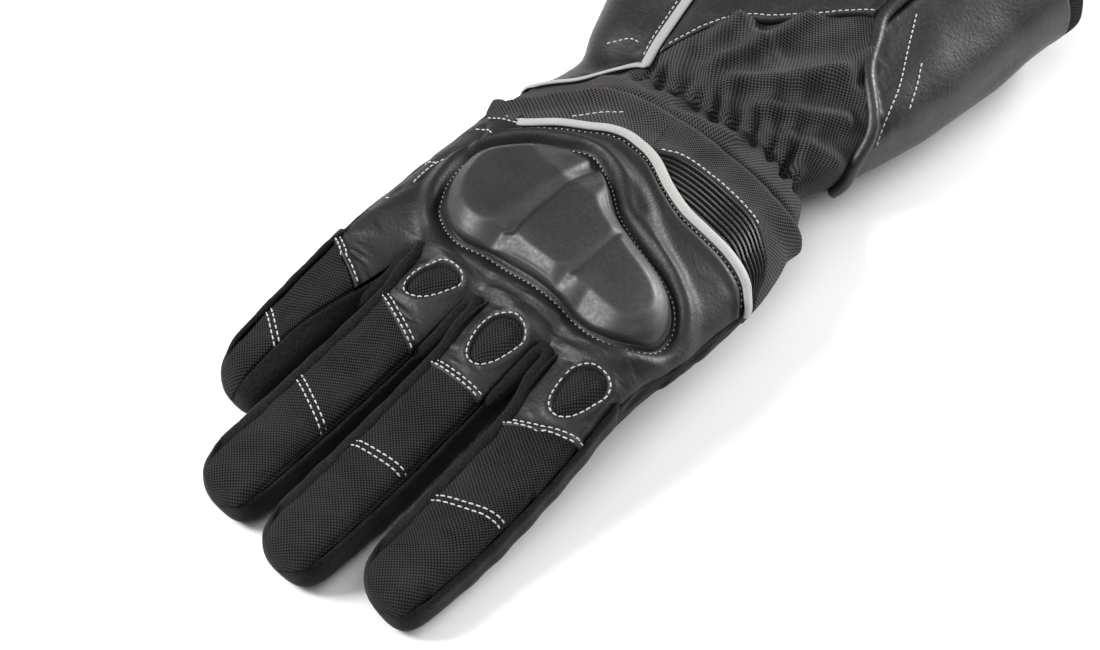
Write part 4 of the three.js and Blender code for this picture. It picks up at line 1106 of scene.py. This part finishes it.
THREAD = material("thread", THREAD_TONES[1], 0.6, fuzz_look(*THREAD_TONES, 3000))
TAPE = material("reflective_tape", TAPE_TONES[1], 0.55, fuzz_look(*TAPE_TONES, 1800, 0.00005))
RUBBER = material("ribbed_rubber", grey(0.025), 0.33, RUBBERY)


# The pieces
leather = back_leather()
leather_base = Surface()
for i in range(4):
    c = np.linspace(-1, 1, 16)[None, :]
    leather_base.grid(back_point(i, c, leather_rows(i, c)[::3]))
base_tree = leather_base.done().tree()
leather_tree = leather.tree()
leather.make("back_leather_skin", LEATHER, "leather", "back_leather")
knuckle_guard(base_tree).make("knuckle_guard_shell", GUARD, "moulded_guard", "knuckle_guard")
for name in TEARDROPS:
    teardrop_cloth(name, base_tree).make(name + "_teardrop_cloth", CLOTH, "softshell", name + "_teardrop")
cloth_trees = {}
for name in NAMES:
    finger_sides(name).make(name + "_knit", KNIT, "knit", name + "_side_strip")
    cloth = finger_cloth(name)
    cloth_trees[name] = cloth.tree()
    cloth.make(name + "_cloth", CLOTH, "softshell", name + "_back_panel")
side = under_piece((SIDE_START, 0.998), 90, -9, 140, 0, 0.35, [1, 0.5, 1], 7.0, 21)
side.make("pinky_side_skin", LEATHER, "leather", "pinky_side_leather")
pinky_edge_leather().make("pinky_edge_skin", LEATHER, "leather", "pinky_side_leather")
palm_ends = SIDE_START - PALM_LAP, GUSSET_END + PALM_LAP
palm = under_piece(palm_ends, 90, 3.4, 60, -0.2, 0.2, [1, 1, 1], 14.0, 23)
palm.make("palm_skin", LEATHER, "leather", "palm_leather")
gusset = under_piece((GUSSET_END, 0.004), 60, -9, 130, 0, 0.25, [1, 0.4, 1], 6.0, 25)
gusset.make("index_side_knit", KNIT, "knit", "index_side_gusset")
thumb().make("thumb_skin", LEATHER, "leather", "thumb")
ribbed_panel().make("ribs", RUBBER, "ribbed_rubber", "ribbed_panel")
band = wrist_band()
band_tree = band.tree()
band.make("wrist_band_cloth", CUFF_CLOTH, "softshell", "wrist_band")
gathered = gathered_wrist()
gathered_cloth = gathered.make("gathered_cloth", CUFF_CLOTH, "softshell", "gathered_wrist", "cuff_palm")
CUFF_PANELS = [
    # name, first and last angle, columns, front edge, rows, seed of the wrinkles
    ("cuff_side", 112, 194, 140, side_cuff_y, 120, 81),
    ("cuff_top", 65.5, 109.5, 110, top_cuff_y, 120, 83),
    ("cuff_index", -38, 62, 150, top_cuff_y, 110, 85),
]
cuff_trees = []
for name, first, last, columns, front, count, seed in CUFF_PANELS:
    panel = panel_over(np.linspace(first, last, columns), front, count, seed)
    cuff_trees.append(panel.tree())
    panel.make(name + "_skin", CUFF_LEATHER, "leather", name + "_leather")
cuff_hem().make("cuff_mouth", CLOTH, "softshell", "cuff_hem")

around = np.linspace(2.5, 128.5, 200)
P, N = hand_path(piping_y(around), around, 0.45)
P = P + N * (0.7 * bump(around - 7, 7))[:, None]
sweep(P, N, lens(3.2, 0.75)).make("wrist_piping_tape", TAPE, "reflective", "wrist_piping")
left_arm = np.linspace(178, 111.5, 60)
right_arm = np.linspace(96, PIPING_END, 90)[1:]
ys = np.concatenate([side_cuff_y(left_arm) + 0.3, right_arm])
P, N = hand_path(ys, np.concatenate([left_arm, 111 + 0 * right_arm]), 1.0)
P = P + N * cuff_waves(P)[:, None]
taper = np.concatenate([0.62 + 0 * left_arm, 1 + 0 * right_arm])
sweep(P, N, lens(3.0, 0.9), taper).make("cuff_v_tape", TAPE, "reflective", "cuff_v_piping")
angles = np.linspace(-22, 64, 90)
straight = np.linspace(149, PIPING_END, 40)[1:]
ys = np.concatenate([top_cuff_y(angles), straight])
P, N = hand_path(ys, np.concatenate([angles, 64 + 0 * straight]), 1.5)
P = P + N * cuff_waves(P)[:, None]
soften(P, 12)
sweep(P, N, ring(1.95)).make("cuff_roll", CUFF_LEATHER, "leather", "cuff_roll_piping")

ROLL = 2.15


def fork_roll(k):
    """The rolled knit edge that runs up one finger, round the fork and down the next"""
    fx, fy = FORKS[k]
    back = fy - FORK_RADIUS
    ys = np.linspace(fy - 24, back - 1, 40)
    near = smooth((ys - fy + 22) / 13)[:, None]
    up = mix(finger_point(NAMES[k], ys, SEAM_RIGHT - 4 + 0 * ys), back_point(k, 0.95 + 0 * ys, ys), near)
    up[:, 0] = mix(up[:, 0], fx - ROLL, near[:, 0])
    down_y = np.concatenate([ys[::-1], np.linspace(fy - 25, tip[NAMES[k + 1]] + 6, 120)])
    inset = mix(0.93, 0.85, smooth((back - down_y) / 18))
    down = back_point(k + 1, -inset, down_y)
    down[:, 0] = mix(down[:, 0], fx + ROLL, smooth((down_y - fy + 22) / 13))
    up, down = up - [0, 0, 0.8], down - [0, 0, 0.6]
    first, last = up[-1], down[0]
    middle, arm = (first + last) / 2, (last - first) / 2
    turn = np.linspace(0, math.pi, 16)[1:-1, None]
    bend = middle - arm * np.cos(turn) + np.array([0, 3.4, 0.9]) * np.sin(turn)
    path = even(np.concatenate([up, bend, down]), step=0.7)
    soften(path, 10)
    path[:, 2] = np.maximum(path[:, 2], 2.0)
    n = np.tile([0.0, 0.0, 1.0], (len(path), 1))
    at = np.arange(len(path))
    s = at / (len(path) - 1)
    wave = 1 + 0.08 * np.sin(at * 0.31 + k) * np.sin(at * 0.083)
    return sweep(path, n, ring(ROLL), (0.2 + 0.8 * smooth(s / 0.05) * smooth((1 - s) / 0.05)) * wave)


for k in range(3):
    fork_roll(k).make(NAMES[k] + "_fork_roll", KNIT, "knit", NAMES[k + 1] + "_side_strip")

# Stitching
rows = []


def row(plan, trees, lift=0.1, **options):
    P, N = on_top(trees, even(plan, step=0.6), lift)
    rows.append((P, N, options))


def along(y, angle):
    return hand_path(y, angle)[0][:, :2]


FINE = {"pitch": 1.7, "length": 0.65, "radius": 0.15}
SMALL = {"pitch": 1.9, "length": 1.35, "radius": 0.2}
row(path_through(GUARD_EDGE, closed=True, count=400), [leather_tree], 0.0, **FINE)
for name in TEARDROPS:
    row(teardrop_line(name, 0.0, 200), [leather_tree], pitch=1.95, length=1.5, radius=0.22)
for i, name in enumerate(NAMES):
    for back in (1.4, 3.0):
        c = np.linspace(-0.9, 0.9, 40)
        row(back_point(i, c, tongue_end(i, c) + back), [leather_tree])
run = np.linspace(-3, 128, 260)
row(along(piping_y(run) - 2.1, run), [leather_tree], 0.05, **FINE)
stitches("leather_stitches", rows, "back_leather")

rows = []
side_trees = [side.tree()]
SIDE_RUNS = [
    [(-69, 9.2), (-66, 9.7), (-64, 11), (-62.1, 12.8)],
    [(-69.5, 26.8), (-66.8, 27), (-64.7, 27.1)],
    [(-66, 44.9), (-62.1, 45.8), (-58, 44)],
]
run = np.linspace(2, 44, 90)
row(along(run, pinky_seam(run) + 2.6), side_trees, **SMALL)
for back in (0.0, 1.6):
    row(np.array([(-66.6, 51.2 + back), (-58.7, 51.6 + back), (-54.9, 52.2 + back)]), side_trees, **SMALL)
for points in SIDE_RUNS:
    row(np.array(points), side_trees, **SMALL)
stitches("side_stitches", rows, "pinky_side_leather")

rows = []
run = np.linspace(38, 87, 120)
row(along(rib_y(run) + 0.8, run), [band_tree], **SMALL)
row(path_through([(-45, 63), (-42.5, 65.8), (-38.1, 70.9), (-33.3, 75)], count=60), [band_tree], **SMALL)
stitches("band_stitches", rows, "wrist_band")

rows = []
run = np.linspace(99, 190, 160)
row(along(run, 114.5 + 0 * run), [cuff_trees[0]], **SMALL)
CUFF_RUNS = [
    # number of the panel, points, how many points the smooth line has
    (0, [(-61.6, 99.2), (-58.5, 101), (-55, 102.6), (-50.9, 102.3)], 60),
    (2, [(8, 158), (13.5, 146.5), (19.1, 135.1), (21.8, 126), (23.3, 119)], 120),
    (2, [(19, 146), (22, 140), (24.6, 133)], 60),
]
for k, points, count in CUFF_RUNS:
    row(path_through(points, count=count), [cuff_trees[k]], **SMALL)
run = np.linspace(107, 66, 160)
row(along(top_cuff_y(run) + 2.2, run), [cuff_trees[1]], **SMALL)
stitches("cuff_stitches", rows, "cuff_side_leather")

MID_SEAMS = {"pinky": (-44, -0.75), "ring": (-55.5, -0.5), "middle": (-59, 0.05), "index": (-57.6, 0.3)}
rows = []
for name, (at, slant) in MID_SEAMS.items():
    for back in (0.0, 1.9):
        angles = np.array([176 - SEAM_LEFT, 4 + right_seam(name, at)])
        ends = finger_point(name, at + np.zeros(2), angles)
        x = np.linspace(ends[0, 0], ends[1, 0], 40)
        y = at + back + slant * (x - finger_at(name, at)[0])
        row(np.stack([x, y], 1), [cloth_trees[name]])
stitches("finger_stitches", rows, *(n + "_back_panel" for n in NAMES))

# Floor, light and camera
bpy.ops.mesh.primitive_plane_add(size=6, location=(0, 0, -0.0005))
floor = bpy.context.object
floor.name = "floor"
floor.data.materials.append(material("floor", (0.93, 0.93, 0.93), 0.9, specular=0.1))


def look_along(ob, direction):
    ob.rotation_mode = "QUATERNION"
    ob.rotation_quaternion = direction.to_track_quat("-Z", "Y")
    COLLECTION.objects.link(ob)


LIGHTS = [
    # name, position and size in metres, watts
    ("key", (-0.85, -0.75, 1.0), (0.55, 0.55), 28),
    ("back", (0.35, 1.2, 0.45), (0.8, 0.3), 27),
    ("top", (0.4, -0.3, 1.5), (1.4, 1.4), 10),
]
LIT_POINT = Vector((0.0, 0.0, 0.02))
for name, at, size, watts in LIGHTS:
    light = bpy.data.lights.new(name, "AREA")
    light.shape = "RECTANGLE"
    light.size, light.size_y = size
    light.energy = watts
    ob = bpy.data.objects.new(name, light)
    ob.location = at
    look_along(ob, LIT_POINT - Vector(at))
world = bpy.data.worlds.new("studio")
world.use_nodes = True
world.node_tree.nodes["Background"].inputs["Color"].default_value = (1, 1, 1, 1)
world.node_tree.nodes["Background"].inputs["Strength"].default_value = 0.2
bpy.context.scene.world = world
bpy.context.scene.view_settings.view_transform = "Standard"

AZIMUTH, ELEVATION, DISTANCE = math.radians(40), math.radians(48), 1.0
level = math.cos(ELEVATION)
back = Vector((math.sin(AZIMUTH) * level, -math.cos(AZIMUTH) * level, math.sin(ELEVATION)))
aim = Vector((0.0275, -0.0555, 0.030))
camera = bpy.data.objects.new("camera", bpy.data.cameras.new("camera"))
camera.data.sensor_width = 36
camera.data.lens = 36 * 3650 / 1100
camera.location = aim + back * DISTANCE
look_along(camera, -back)
bpy.context.scene.camera = camera
